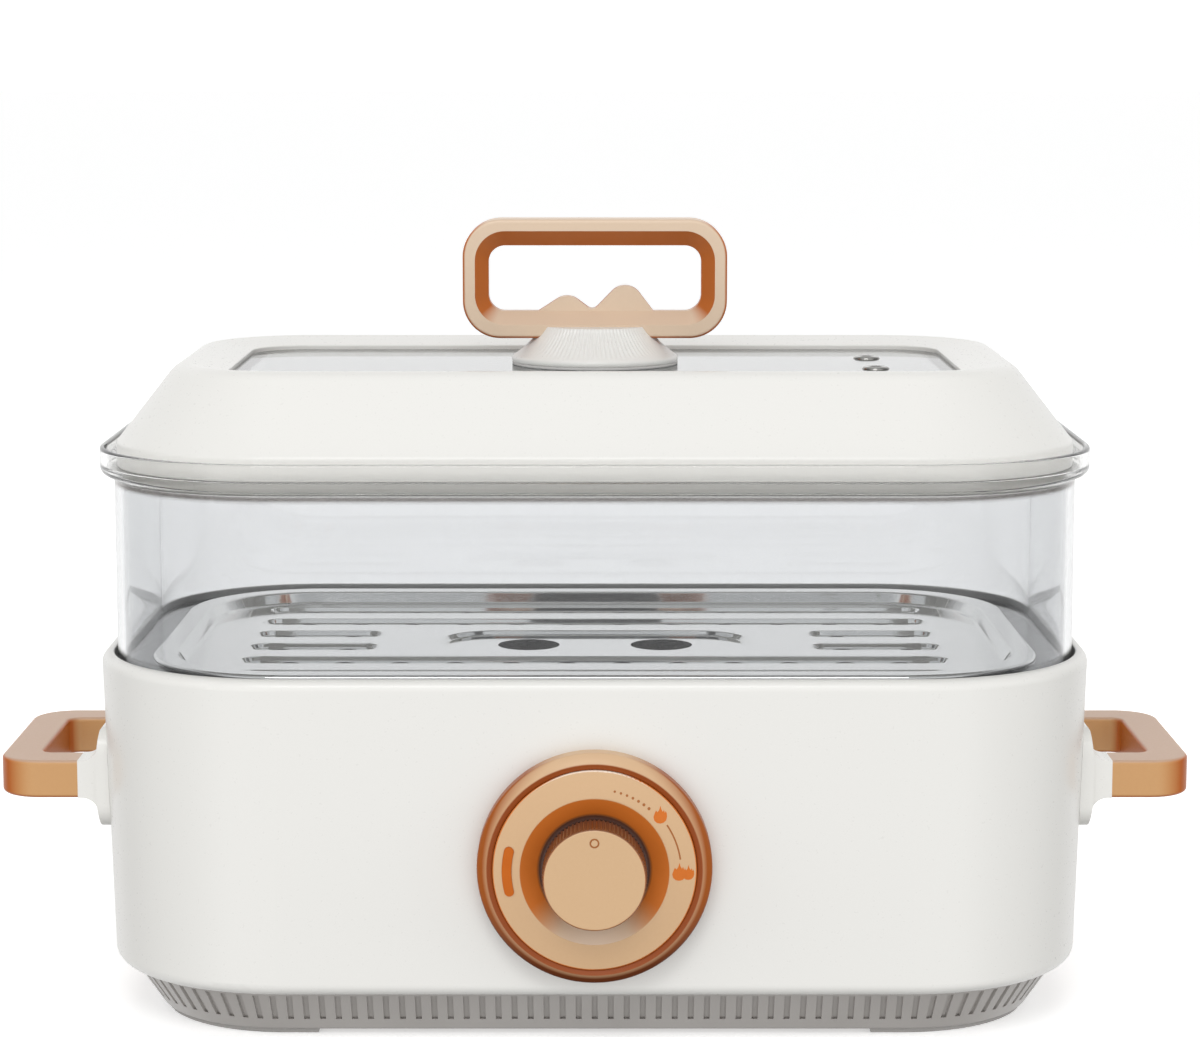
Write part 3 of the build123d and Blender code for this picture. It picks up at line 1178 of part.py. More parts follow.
def make_pedestal():
    section = outline(
        (0, PEDESTAL_Z),
        (PEDESTAL_RADIUS, PEDESTAL_Z, EDGE),
        (PEDESTAL_RADIUS, PEDESTAL_Z + PEDESTAL_RIM, EDGE),
        (PEDESTAL_WAIST_RADIUS, PEDESTAL_Z + PEDESTAL_WAIST_HEIGHT, PEDESTAL_WAIST_ROUND),
        (PEDESTAL_TOP_RADIUS, PEDESTAL_TOP, EDGE),
        (0, PEDESTAL_TOP))
    body = revolve(Plane.XZ * section, Axis.Z, 360)
    slot = Box(4 * PEDESTAL_RADIUS, LOOP_DEPTH + 2 * FIT, 2 * LOOP_SUNK)
    body -= Pos(0, 0, PEDESTAL_TOP) * slot
    return body - lid_screw_holes(LID_SCREW_RADIUS + FIT, PEDESTAL_Z - OVERRUN, PEDESTAL_TOP)


def make_loop():
    middle_z = LOOP_Z + LOOP_HEIGHT / 2
    front = Plane((0, LOOP_DEPTH / 2, middle_z), x_dir=(1, 0, 0), z_dir=(0, -1, 0))
    body = extrude(front * RectangleRounded(2 * LOOP_HALF_WIDTH, LOOP_HEIGHT, LOOP_CORNER), LOOP_DEPTH)
    rims = body.edges().filter_by(lambda edge: abs(edge.tangent_at(0.5).Y) < 0.5)
    body = fillet(rims, LOOP_EDGE)
    width = 2 * (LOOP_HALF_WIDTH - LOOP_SIDE)
    height = LOOP_HEIGHT - LOOP_BOTTOM_BAR - LOOP_TOP_BAR
    opening_z = LOOP_Z + LOOP_BOTTOM_BAR + height / 2
    small = RectangleRounded(width, height, LOOP_INNER_CORNER)
    large_height = height + LOOP_BEVEL + LOOP_TOP_BEVEL
    large = RectangleRounded(width + 2 * LOOP_BEVEL, large_height, LOOP_INNER_CORNER + LOOP_BEVEL)
    large = Pos(0, (LOOP_TOP_BEVEL - LOOP_BEVEL) / 2) * large
    land = Plane((0, 0, opening_z), x_dir=(1, 0, 0), z_dir=(0, -1, 0))
    body -= extrude(land * small, LOOP_DEPTH, both=True)
    funnel = loft([land.offset(LOOP_LAND / 2) * small, land.offset(LOOP_DEPTH / 2) * large], ruled=True)
    body -= [funnel, mirror(funnel, about=Plane.XZ)]
    bar_top = LOOP_Z + LOOP_BOTTOM_BAR
    sunk = bar_top - OVERRUN
    hills = outline(
        (HILL_FOOT_LEFT, sunk),
        (HILL_FOOT_LEFT, bar_top),
        (LEFT_HILL_X, bar_top + LEFT_HILL_RISE, HILL_ROUND),
        (SADDLE_X, bar_top, SADDLE_ROUND),
        (RIGHT_HILL_X, bar_top + RIGHT_HILL_RISE, HILL_ROUND),
        (HILL_FOOT_RIGHT, bar_top),
        (HILL_FOOT_RIGHT, sunk))
    body += extrude(Plane.XZ * hills, LOOP_LAND / 2, both=True)
    screw_end = LOOP_Z + LID_SCREW_GRIP + FIT
    return body - lid_screw_holes(LID_SCREW_RADIUS + FIT, LOOP_Z - OVERRUN, screw_end)


def make_clamp_plate():
    low = PANE_Z - CLAMP_THICKNESS
    sheet = extrude(RectangleRounded(CLAMP_LENGTH, CLAMP_WIDTH, CLAMP_CORNER), CLAMP_THICKNESS)
    holes = lid_screw_holes(LID_SCREW_RADIUS + FIT, low - OVERRUN, PANE_Z + OVERRUN)
    return Pos(0, 0, low) * sheet - holes


def make_lid_screws():
    seat = PANE_Z - CLAMP_THICKNESS
    length = LOOP_Z + LID_SCREW_GRIP - seat
    return [screw((x, 0, seat), (0, 0, 1), LID_SCREW_RADIUS, length) for x in (-LID_SCREW_X, LID_SCREW_X)]


def all_nodes():
    """Every piece by name; a list holds like pieces that share a name."""
    envelope = housing_envelope()
    grip = make_grip()
    bracket = make_bracket(envelope)
    return {
        "base_plinth": make_plinth(),
        "rubber_feet": make_feet(),
        "bottom_plate": make_bottom_plate(),
        "base_screws": make_base_screws(),
        "outer_housing": make_housing(),
        "pan_seal": make_seal(),
        "cooking_pan": make_pan(),
        "heating_plate": make_heat_plate(),
        "heater_tube": make_heater(),
        "heater_straps": make_straps(),
        "strap_screws": make_strap_screws(),
        "thermal_cutout": make_cutout(),
        "sensor_bulb": make_sensor(),
        "heat_shield": make_shield(),
        "dial_face": make_dial_face(envelope),
        "dial_bezel": make_bezel(envelope),
        "dial_screws": make_dial_screws(),
        "lamp_lens": make_lens(),
        "pilot_lamp": make_lamp(),
        "thermostat": make_thermostat(),
        "thermostat_screws": make_thermostat_screws(),
        "internal_wires": make_wires(),
        "right_handle_grip": grip,
        "left_handle_grip": mirror(grip, about=Plane.YZ),
        "right_handle_bracket": bracket,
        "left_handle_bracket": mirror(bracket, about=Plane.YZ),
        "handle_screws": make_handle_screws(),
        "power_inlet": make_inlet(envelope),
        "inlet_pins": make_pins(),
        "inlet_screws": make_inlet_screws(),
        "control_knob": make_knob(),
        "knob_shaft": make_shaft(),
        "steamer_box": make_box(),
        "steam_tray": make_tray(),
        "lid_frame": make_lid_frame(),
        "lid_window": make_window(),
        "window_gasket": make_window_gasket(),
        "vent_eyelets": make_vents(),
        "pedestal_gasket": make_pedestal_gasket(),
        "handle_pedestal": make_pedestal(),
        "lid_handle": make_loop(),
        "clamp_plate": make_clamp_plate(),
        "lid_handle_screws": make_lid_screws(),
    }


os.makedirs("parts", exist_ok=True)
for node, shape in all_nodes().items():
    pieces = shape if isinstance(shape, list) else [shape]
    solids = [solid for piece in pieces for solid in piece.solids()]
    whole = solids[0] if len(solids) == 1 else Compound(solids)
    export_step(Pos(0, SHIFT_Y, 0) * whole, f"parts/{node}.step")
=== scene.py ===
"""Looks of an electric cooker with a clear steamer box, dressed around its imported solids."""
import logging
import math
from dataclasses import dataclass
from enum import Enum
from typing import Any, Optional, Union

import bmesh
import bpy
from mathutils import Matrix, Vector

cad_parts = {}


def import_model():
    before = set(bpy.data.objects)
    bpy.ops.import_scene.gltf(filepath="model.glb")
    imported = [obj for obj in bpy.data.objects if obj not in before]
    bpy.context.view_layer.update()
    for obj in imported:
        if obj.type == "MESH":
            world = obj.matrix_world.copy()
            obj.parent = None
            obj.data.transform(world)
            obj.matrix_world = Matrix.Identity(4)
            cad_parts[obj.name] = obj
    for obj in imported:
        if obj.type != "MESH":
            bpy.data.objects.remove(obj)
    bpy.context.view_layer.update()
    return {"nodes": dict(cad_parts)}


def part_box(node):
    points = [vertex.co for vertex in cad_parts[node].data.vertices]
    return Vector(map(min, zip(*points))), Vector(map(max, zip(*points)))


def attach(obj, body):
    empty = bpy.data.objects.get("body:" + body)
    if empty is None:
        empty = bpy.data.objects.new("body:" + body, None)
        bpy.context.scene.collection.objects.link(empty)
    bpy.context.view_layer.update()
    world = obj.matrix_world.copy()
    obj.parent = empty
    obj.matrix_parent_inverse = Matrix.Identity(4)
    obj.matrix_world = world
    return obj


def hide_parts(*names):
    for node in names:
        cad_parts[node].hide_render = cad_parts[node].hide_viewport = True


log = logging.getLogger("steamer")

MM = 0.001
# Points closer than these, in metres, are one: after a turn, and at a cut
WELD, CUT = 1e-6, 1e-7
# Colour sockets of the mix node, which share their names with its number sockets
MIX_FIRST, MIX_SECOND, MIX_RESULT = 6, 7, 2
# The range that noise seldom leaves, and its middle
NOISE_LOW, NOISE_MIDDLE, NOISE_HIGH = 0.3, 0.5, 0.7


class Body(Enum):
    """Moving bodies of the cooker."""

    BASE = "base_unit"
    KNOB = "knob"
    BOX = "box"
    TRAY = "tray"
    LID = "lid"


def linear(hex_colour: str) -> tuple[float, ...]:
    """Turns a colour as seen on screen into light values, by the sRGB curve.

    Args:
        hex_colour: sRGB colour such as "#A0B0C0".

    Returns:
        Linear red, green, blue and an alpha of one.
    """
    shares = [int(hex_colour[start:start + 2], 16) / 255 for start in (1, 3, 5)]
    light = [share / 12.92 if share <= 0.04045 else ((share + 0.055) / 1.055) ** 2.4 for share in shares]
    return (*light, 1.0)


def add_node(
    tree: bpy.types.NodeTree,
    kind: str,
    links: Optional[dict[Any, bpy.types.NodeSocket]] = None,
    inputs: Optional[dict[Any, Any]] = None,
    **settings: Any,
) -> bpy.types.Node:
    """Adds one shader node with its settings and links.

    Args:
        tree: Node tree that gets the node.
        kind: Blender's name of the node.
        links: Output sockets by the input they feed.
        inputs: Plain values by input.
        **settings: Properties of the node itself.

    Returns:
        The new node.
    """
    node = tree.nodes.new(kind)
    for name, value in settings.items():
        setattr(node, name, value)
    for socket, value in (inputs or {}).items():
        node.inputs[socket].default_value = value
    for socket, source in (links or {}).items():
        tree.links.new(source, node.inputs[socket])
    return node


def noise(
    tree: bpy.types.NodeTree,
    place: bpy.types.NodeSocket,
    size_mm: float,
    detail: float,
    roughness: float = 0.5,
) -> bpy.types.NodeSocket:
    """Adds a noise pattern.

    Args:
        tree: Node tree that gets it.
        place: Coordinates in metres.
        size_mm: Size of its blots.
        detail: Number of finer layers.
        roughness: Weight of the finer layers.

    Returns:
        The pattern's value.
    """
    node = add_node(tree, "ShaderNodeTexNoise", {"Vector": place}, {
        "Scale": 1 / (size_mm * MM), "Detail": detail, "Roughness": roughness})
    return node.outputs["Fac"]


def ramp(
    tree: bpy.types.NodeTree,
    value: bpy.types.NodeSocket,
    start: float,
    end: float,
    before: float = 0.0,
    after: float = 1.0,
    **settings: Any,
) -> bpy.types.NodeSocket:
    """Adds a change from one level to another.

    Args:
        tree: Node tree that gets it.
        value: The value that drives it.
        start: Where the change starts.
        end: Where it ends.
        before: Level up to the start.
        after: Level from the end on.
        **settings: Properties of the node.

    Returns:
        The level.
    """
    node = add_node(tree, "ShaderNodeMapRange", {"Value": value}, {
        "From Min": start, "From Max": end, "To Min": before, "To Max": after}, **settings)
    return node.outputs[0]


def blend(
    tree: bpy.types.NodeTree,
    share: bpy.types.NodeSocket,
    first: Union[str, bpy.types.NodeSocket],
    second: Union[str, bpy.types.NodeSocket],
) -> bpy.types.NodeSocket:
    """Adds a blend of two colours.

    Args:
        tree: Node tree that gets it.
        share: Share of the second colour.
        first: A colour, or the socket that gives it.
        second: The other colour.

    Returns:
        The blended colour.
    """
    node = add_node(tree, "ShaderNodeMix", {"Factor": share}, data_type="RGBA")
    for socket, colour in ((MIX_FIRST, first), (MIX_SECOND, second)):
        if isinstance(colour, str):
            node.inputs[socket].default_value = linear(colour)
        else:
            tree.links.new(colour, node.inputs[socket])
    return node.outputs[MIX_RESULT]


def emboss(
    tree: bpy.types.NodeTree, shader: bpy.types.Node, height: bpy.types.NodeSocket, depth_mm: float
) -> None:
    """Gives a surface a fine relief.

    Args:
        tree: Node tree of the material.
        shader: Its shader.
        height: Pattern of the relief.
        depth_mm: Depth of the relief.
    """
    bump = add_node(tree, "ShaderNodeBump", {"Height": height}, {"Strength": 1.0, "Distance": depth_mm * MM})
    tree.links.new(bump.outputs[0], shader.inputs["Normal"])


@dataclass(frozen=True)
class Finish:
    """A surface finish that becomes a node material when it is first asked for."""

    name: str
    colour: str
    roughness: float

    def material(self) -> bpy.types.Material:
        """Makes the material, or finds the one made before.

        Returns:
            The finish's material.
        """
        found = bpy.data.materials.get(self.name)
        if found:
            return found
        made = bpy.data.materials.new(self.name)
        made.use_nodes = True
        tree = made.node_tree
        tree.nodes.clear()
        shader = add_node(tree, "ShaderNodeBsdfPrincipled", inputs={
            "Base Color": linear(self.colour), "Roughness": self.roughness})
        add_node(tree, "ShaderNodeOutputMaterial", {"Surface": shader.outputs[0]})
        place = add_node(tree, "ShaderNodeTexCoord").outputs["Object"]
        self.paint(tree, shader, place)
        return made

    def paint(self, tree: bpy.types.NodeTree, shader: bpy.types.Node, place: bpy.types.NodeSocket) -> None:
        """Adds what sets this finish apart; the plain finish adds nothing."""

    def dress(self, nodes: dict[str, bpy.types.Object], *names: str) -> None:
        """Gives the finish to solids of the frame.

        Args:
            nodes: Solids by name.
            *names: The solids that get it.
        """
        for name in names:
            for slot in nodes[name].material_slots:
                slot.material = self.material()
            log.info("%s: %s", name, self.name)


@dataclass(frozen=True)
class MouldedPlastic(Finish):
    """Injection-moulded plastic: faint flow clouds in the colour, a fine spark-eroded grain in the gloss."""

    clouded: str = "#FFFFFF"
    cloud_mm: float = 45.0
    grain_mm: float = 0.9
    grain_depth_mm: float = 0.006
    uneven: float = 0.03
    ior: float = 1.53

    def paint(self, tree: bpy.types.NodeTree, shader: bpy.types.Node, place: bpy.types.NodeSocket) -> None:
        """Adds the clouds, the uneven gloss and the grain.

        Args:
            tree: Node tree of the material.
            shader: Its shader.
            place: Object coordinates.
        """
        shader.inputs["IOR"].default_value = self.ior
        clouds = noise(tree, place, self.cloud_mm, detail=3.0)
        tree.links.new(blend(tree, clouds, self.colour, self.clouded), shader.inputs["Base Color"])
        gloss = ramp(
            tree, clouds, NOISE_LOW, NOISE_HIGH, self.roughness - self.uneven, self.roughness + self.uneven)
        tree.links.new(gloss, shader.inputs["Roughness"])
        emboss(tree, shader, noise(tree, place, self.grain_mm, detail=2.0), self.grain_depth_mm)


@dataclass(frozen=True)
class LacquerWithPaintedShade(MouldedPlastic):
    """Copper lacquer with light and shade painted in by which way each face looks.

    Faces that look to the front or back get the lit colour, faces that look up a painted top light, and
    walls that look sideways or down a painted orange shade. What looks down can get darker painted shade.
    """

    # Painted light and shade: a painted top light on faces that look up, painted shade on walls that look
    # sideways or down, darker painted shade on what looks down
    painted_top_light: str = "#FFFFFF"
    top_light_from: float = 0.35
    top_light_to: float = 0.7
    wall: str = "#000000"
    shaded_below: float = 0.8
    lit_above: float = 0.97
    under: Optional[str] = None
    under_from: float = -0.15
    under_to: float = -0.55

    def paint(self, tree: bpy.types.NodeTree, shader: bpy.types.Node, place: bpy.types.NodeSocket) -> None:
        """Adds the moulded look, the painted top light and the painted shade on the walls.

        Args:
            tree: Node tree of the material.
            shader: Its shader.
            place: Object coordinates.
        """
        super().paint(tree, shader, place)
        base = shader.inputs["Base Color"]
        # How much each face looks to the front, the back or up picks painted light or painted shade
        facing = add_node(tree, "ShaderNodeTexCoord").outputs["Normal"]
        parts = add_node(tree, "ShaderNodeSeparateXYZ", {"Vector": facing}).outputs
        upward = add_node(tree, "ShaderNodeMath", {0: parts["Z"]}, {1: 0.0}, operation="MAXIMUM").outputs[0]
        toward_lights = add_node(tree, "ShaderNodeCombineXYZ", {"Y": parts["Y"], "Z": upward}).outputs[0]
        facing_lights = add_node(tree, "ShaderNodeVectorMath", {0: toward_lights}, operation="LENGTH").outputs["Value"]
        top_light_share = ramp(tree, upward, self.top_light_from, self.top_light_to)
        faces = blend(tree, top_light_share, base.links[0].from_socket, self.painted_top_light)
        under_share = ramp(tree, parts["Z"], self.under_from, self.under_to)
        walls = blend(tree, under_share, self.wall, self.under or self.wall)
        lit_share = ramp(tree, facing_lights, self.shaded_below, self.lit_above)
        tree.links.new(blend(tree, lit_share, walls, faces), base)


@dataclass(frozen=True)
class ShadedLacquer(LacquerWithPaintedShade):
    """Lacquer round the dial's axis, with painted light and shade by facing and painted shade past a radius.
    """

    # Painted shade past a radius from the dial's axis, with the radii where it starts and where it is full
    radial_shade: str = "#000000"
    radial_shade_from_mm: float = 0.0
    radial_shade_to_mm: float = 1.0
    axis_z_mm: float = 60.3

    def paint(self, tree: bpy.types.NodeTree, shader: bpy.types.Node, place: bpy.types.NodeSocket) -> None:
        """Adds the painted light and shade by facing, and the painted shade past a radius.

        Args:
            tree: Node tree of the material.
            shader: Its shader.
            place: Object coordinates.
        """
        super().paint(tree, shader, place)
        base = shader.inputs["Base Color"]
        across = add_node(tree, "ShaderNodeVectorMath", {0: place}, {
            1: (1.0, 0.0, 1.0), 2: (0.0, 0.0, -self.axis_z_mm * MM)}, operation="MULTIPLY_ADD").outputs[0]
        radius = add_node(tree, "ShaderNodeVectorMath", {0: across}, operation="LENGTH").outputs["Value"]
        # Painted shade comes in past the given radius
        radial_shade_share = ramp(tree, radius, self.radial_shade_from_mm * MM, self.radial_shade_to_mm * MM)
        tree.links.new(blend(tree, radial_shade_share, base.links[0].from_socket, self.radial_shade), base)


@dataclass(frozen=True)
class ClearPlastic(Finish):
    """Clear moulded plastic or glass: see-through, with a slight waviness that bends what is behind."""

    ior: float = 1.49
    wave_mm: float = 60.0
    wave_depth_mm: float = 0.05

    def paint(self, tree: bpy.types.NodeTree, shader: bpy.types.Node, place: bpy.types.NodeSocket) -> None:
        """Adds the transmission and the waviness.

        Args:
            tree: Node tree of the material.
            shader: Its shader.
            place: Object coordinates.
        """
        shader.inputs["IOR"].default_value = self.ior
        shader.inputs["Transmission Weight"].default_value = 1.0
        emboss(tree, shader, noise(tree, place, self.wave_mm, detail=1.0), self.wave_depth_mm)


@dataclass(frozen=True)
class RimmedPlastic(ClearPlastic):
    """Clear plastic whose tint changes with height: smoky walls, a painted dark line under the rim that
    stands in for a dark reflection, a clear rim.
    """

    # Heights in millimetres with their tints; the dark band under the rim is a painted dark reflection
    tints_and_painted_shade: tuple[tuple[float, str], ...] = ()
    top_mm: float = 200.0

    def paint(self, tree: bpy.types.NodeTree, shader: bpy.types.Node, place: bpy.types.NodeSocket) -> None:
        """Adds the clear look, the tints and the painted dark line.

        Args:
            tree: Node tree of the material.
            shader: Its shader.
            place: Object coordinates.
        """
        super().paint(tree, shader, place)
        height = add_node(tree, "ShaderNodeSeparateXYZ", {"Vector": place}).outputs["Z"]
        share = add_node(tree, "ShaderNodeMath", {0: height}, {1: self.top_mm * MM}, operation="DIVIDE")
        tones = add_node(tree, "ShaderNodeValToRGB", {"Fac": share.outputs[0]})
        stops = tones.color_ramp.elements
        stops.remove(stops[1])
        stops[0].color = linear(self.colour)
        for level, tint in self.tints_and_painted_shade:
            stops.new(level / self.top_mm).color = linear(tint)
        tree.links.new(tones.outputs["Color"], shader.inputs["Base Color"])


@dataclass(frozen=True)
class SheetMetal(Finish):
    """Rolled or polished metal: fine lines along X from rolling, and faint clouds in the polish."""

    line_mm: float = 0.5
    line_length: float = 60.0
    line_depth_mm: float = 0.002
    uneven: float = 0.06
    shade: str = "#FFFFFF"
    shade_mm: float = 30.0

    def paint(self, tree: bpy.types.NodeTree, shader: bpy.types.Node, place: bpy.types.NodeSocket) -> None:
        """Adds the rolling lines, the uneven polish and the colour clouds.

        Args:
            tree: Node tree of the material.
            shader: Its shader.
            place: Object coordinates.
        """
        shader.inputs["Metallic"].default_value = 1.0
        stretched = add_node(tree, "ShaderNodeMapping", {"Vector": place}, {
            "Scale": (1 / self.line_length, 1.0, 1.0)})
        lines = noise(tree, stretched.outputs[0], self.line_mm, detail=2.0)
        gloss = ramp(
            tree, lines, NOISE_LOW, NOISE_HIGH, self.roughness - self.uneven, self.roughness + self.uneven)
        tree.links.new(gloss, shader.inputs["Roughness"])
        emboss(tree, shader, lines, self.line_depth_mm)
        clouds = noise(tree, place, self.shade_mm, detail=3.0)
        tree.links.new(blend(tree, clouds, self.colour, self.shade), shader.inputs["Base Color"])


@dataclass(frozen=True)
class Speckled(Finish):
    """Sprayed coating, ink or rubber: fine specks of a second colour and a slightly rough skin."""

    specks: str = "#000000"
    speck_mm: float = 0.8
    amount: float = 0.3
    depth_mm: float = 0.01

    def paint(self, tree: bpy.types.NodeTree, shader: bpy.types.Node, place: bpy.types.NodeSocket) -> None:
        """Adds the specks and the rough skin.

        Args:
            tree: Node tree of the material.
            shader: Its shader.
            place: Object coordinates.
        """
        dust = noise(tree, place, self.speck_mm, detail=4.0, roughness=0.6)
        share = ramp(tree, dust, NOISE_MIDDLE, NOISE_HIGH, 0.0, self.amount)
        tree.links.new(blend(tree, share, self.colour, self.specks), shader.inputs["Base Color"])
        emboss(tree, shader, dust, self.depth_mm)


@dataclass(frozen=True)
class GlowingBoard(Finish):
    """White board lit from within, as a light table is."""

    glow: float = 0.1

    def paint(self, tree: bpy.types.NodeTree, shader: bpy.types.Node, place: bpy.types.NodeSocket) -> None:
        """Adds the glow."""
        shader.inputs["Emission Color"].default_value = linear(self.colour)
        shader.inputs["Emission Strength"].default_value = self.glow


# Moulded polypropylene, polished tool: soft, even cream white with a wide, mild shine
SHELL_WHITE = MouldedPlastic(
    "moulded_polypropylene_white", "#E6E5E1", 0.30, clouded="#E4E3DF", cloud_mm=0.9, grain_depth_mm=0.003)
# Moulded ABS, spark-eroded tool: warm grey with a dull, slightly sandy look
PLINTH_GREY = MouldedPlastic(
    "moulded_abs_warm_grey", "#B7B3AF", 0.42, clouded="#ABA7A3", cloud_mm=20.0, grain_mm=0.7,
    grain_depth_mm=0.02)
# Moulded ABS under pearl lacquer: rosy tan faces, painted orange shade on the walls, painted top light on
# what looks up
LOOP_LACQUER = LacquerWithPaintedShade(
    "lacquered_abs_rose_copper", "#DAC2A8", 0.4, clouded="#D7BEA4", cloud_mm=0.9, ior=1.6, painted_top_light="#D6BDA4",
    wall="#B4601C", grain_mm=0.5, grain_depth_mm=0.003)
# The same lacquer, more golden: the grips, with painted orange shade on their walls and a painted top light
GRIP_LACQUER = LacquerWithPaintedShade(
    "lacquered_abs_gold_copper", "#C89760", 0.4, clouded="#C5935C", cloud_mm=0.9, ior=1.6, painted_top_light="#C4A186",
    wall="#B65C12", shaded_below=0.65, lit_above=0.99, grain_mm=0.5, grain_depth_mm=0.003)
# The same lacquer on the dial's face: painted orange shade in the dish, a painted highlight where the dish
# looks up, painted brown shade round the knob's foot
FACE_LACQUER = ShadedLacquer(
    "lacquered_abs_copper_face", "#D0A97C", 0.4, clouded="#CDA578", cloud_mm=0.9, ior=1.75, painted_top_light="#EEDCCA",
    top_light_from=0.3, top_light_to=0.62, wall="#D27324", shaded_below=0.9, grain_mm=0.5, grain_depth_mm=0.003,
    radial_shade="#4A2410", radial_shade_from_mm=18.2, radial_shade_to_mm=17.2)
# The same lacquer on the knob: painted orange shade on its walls, painted brown shade on the ribbed skirt
KNOB_LACQUER = ShadedLacquer(
    "lacquered_abs_copper_knob", "#CFA97C", 0.4, clouded="#CCA578", cloud_mm=0.9, ior=1.75, painted_top_light="#CFA97C",
    wall="#B8641C", grain_mm=0.5, grain_depth_mm=0.003, radial_shade="#7A4420", radial_shade_from_mm=15.6, radial_shade_to_mm=15.9)
# The same lacquer buffed: a painted highlight along the top of the ring, painted deep orange shade on its
# sides and inner band, and a darker painted shade on its lower side
BUFFED_COPPER_PAINTED_SHADE = ShadedLacquer(
    "buffed_lacquer_copper", "#D2AE88", 0.34, clouded="#CFAA84", cloud_mm=0.9, ior=1.35, painted_top_light="#D2B08C",
    wall="#9E521A", under="#642E0C", shaded_below=0.82, grain_mm=0.5, grain_depth_mm=0.0004, radial_shade="#94491A",
    radial_shade_from_mm=34.0, radial_shade_to_mm=33.6)
# Acrylic lens, tinted orange in the mass: deep, even colour with little shine
ORANGE_LENS = MouldedPlastic(
    "tinted_acrylic_orange", "#C6661A", 0.4, clouded="#BE5E14", cloud_mm=3.0, grain_depth_mm=0.001, ior=1.25)
# Moulded glass-filled nylon: near black, matt
INLET_BLACK = MouldedPlastic(
    "moulded_nylon_black", "#1B1B1D", 0.5, clouded="#232326", cloud_mm=8.0, grain_depth_mm=0.015)
# Clear moulded copolyester: smoky walls, a painted dark line, standing in for a dark reflection, under the
# bright polished rim
BOX_CLEAR = RimmedPlastic(
    "moulded_copolyester_clear", "#E4E5E6", 0.012, ior=1.53,
    tints_and_painted_shade=((174.1, "#E4E5E6"), (174.5, "#7C7875"), (175.7, "#7C7875"), (176.6, "#FBFBFA")))
# Toughened float glass: a cool grey tint and a mirror shine at low angles
PANE_GLASS = ClearPlastic(
    "toughened_glass_pane", "#E1E4E6", 0.02, ior=1.52, wave_mm=120.0, wave_depth_mm=0.02)
# Deep-drawn stainless steel, tumbled bright: mirror-like with fine rolling lines
TRAY_STEEL = SheetMetal("polished_stainless_steel", "#FBFBFA", 0.08, shade="#F4F4F3", uneven=0.02)
# Zinc-plated steel: pale grey, slightly milky
SCREW_STEEL = SheetMetal("zinc_plated_steel", "#B9BABB", 0.34, line_length=4.0, shade="#A9ABAE", shade_mm=3.0)
# Nickel-plated brass eyelet: dark mirror
EYELET_NICKEL = SheetMetal(
    "nickel_plated_brass", "#A9A8A5", 0.14, line_length=1.0, shade="#979693", shade_mm=4.0)
# Die-cast aluminium: dull silver with cast clouds
CAST_ALUMINIUM = SheetMetal(
    "die_cast_aluminium", "#B4B5B7", 0.46, line_mm=1.2, line_length=1.0, line_depth_mm=0.04, shade="#9EA0A3",
    shade_mm=12.0)
# Incoloy heater sheath, run hot: brown-grey with bluish clouds
HEATER_SHEATH = SheetMetal(
    "incoloy_heater_sheath", "#7A6C5D", 0.42, line_length=1.0, shade="#565B63", shade_mm=14.0)
# Aluminised sheet: bright with faint spangle
SHIELD_SHEET = SheetMetal("aluminised_steel_sheet", "#C9CBCD", 0.3, shade="#B4B7BA", shade_mm=8.0)
# Drawn brass: warm yellow, lightly dulled
PIN_BRASS = SheetMetal("drawn_brass", "#C9A257", 0.26, line_length=6.0, shade="#B98F45", shade_mm=5.0)
# Drawn copper tube: red-brown
BULB_COPPER = SheetMetal("drawn_copper", "#B9764F", 0.3, line_length=6.0, shade="#9E5F3C", shade_mm=6.0)
# Sprayed non-stick coating on cast aluminium: charcoal with pale specks, satin
PAN_COATING = Speckled(
    "sprayed_nonstick_charcoal", "#2B2B2C", 0.38, specks="#6E6C69", speck_mm=1.2, amount=0.5)
# Moulded silicone rubber: soft warm grey without shine
SEAL_SILICONE = Speckled("moulded_silicone_grey", "#9B9895", 0.62, specks="#B4B1AE", speck_mm=0.6)
# Moulded silicone rubber, pale: the thin ring under the pedestal
PALE_SILICONE = Speckled("moulded_silicone_pale", "#C4C3C1", 0.6, specks="#B2B1AF", speck_mm=0.6)
# Silicone-sleeved wire: off-white, dull
WIRE_SLEEVE = Speckled("silicone_wire_sleeve", "#D9D5CB", 0.55, specks="#C4BFB3", speck_mm=0.5)
# Small neon lamp: amber glass
LAMP_GLASS = ClearPlastic("neon_lamp_glass", "#F0A060", 0.08, ior=1.5, wave_mm=4.0)
# Pad-printed ink, orange: flat colour with a slight tooth
FLAME_INK = Speckled("pad_printed_ink_orange", "#D06C0C", 0.6, specks="#BE5D08", speck_mm=0.4)
# Pad-printed ink, brown: flat colour with a slight tooth
SCALE_INK = Speckled("pad_printed_ink_brown", "#A4622A", 0.6, specks="#8E5222", speck_mm=0.4)
# Painted board: pale, matt ground that takes a soft shadow
FLOOR_PAINT = GlowingBoard("painted_board_white", "#F6F6F6", 0.8, glow=0.42)
# Lit cloth far around the floor: plain white
BACKDROP_CLOTH = GlowingBoard("backlit_cloth_white", "#FFFFFF", 0.9, glow=1.05)


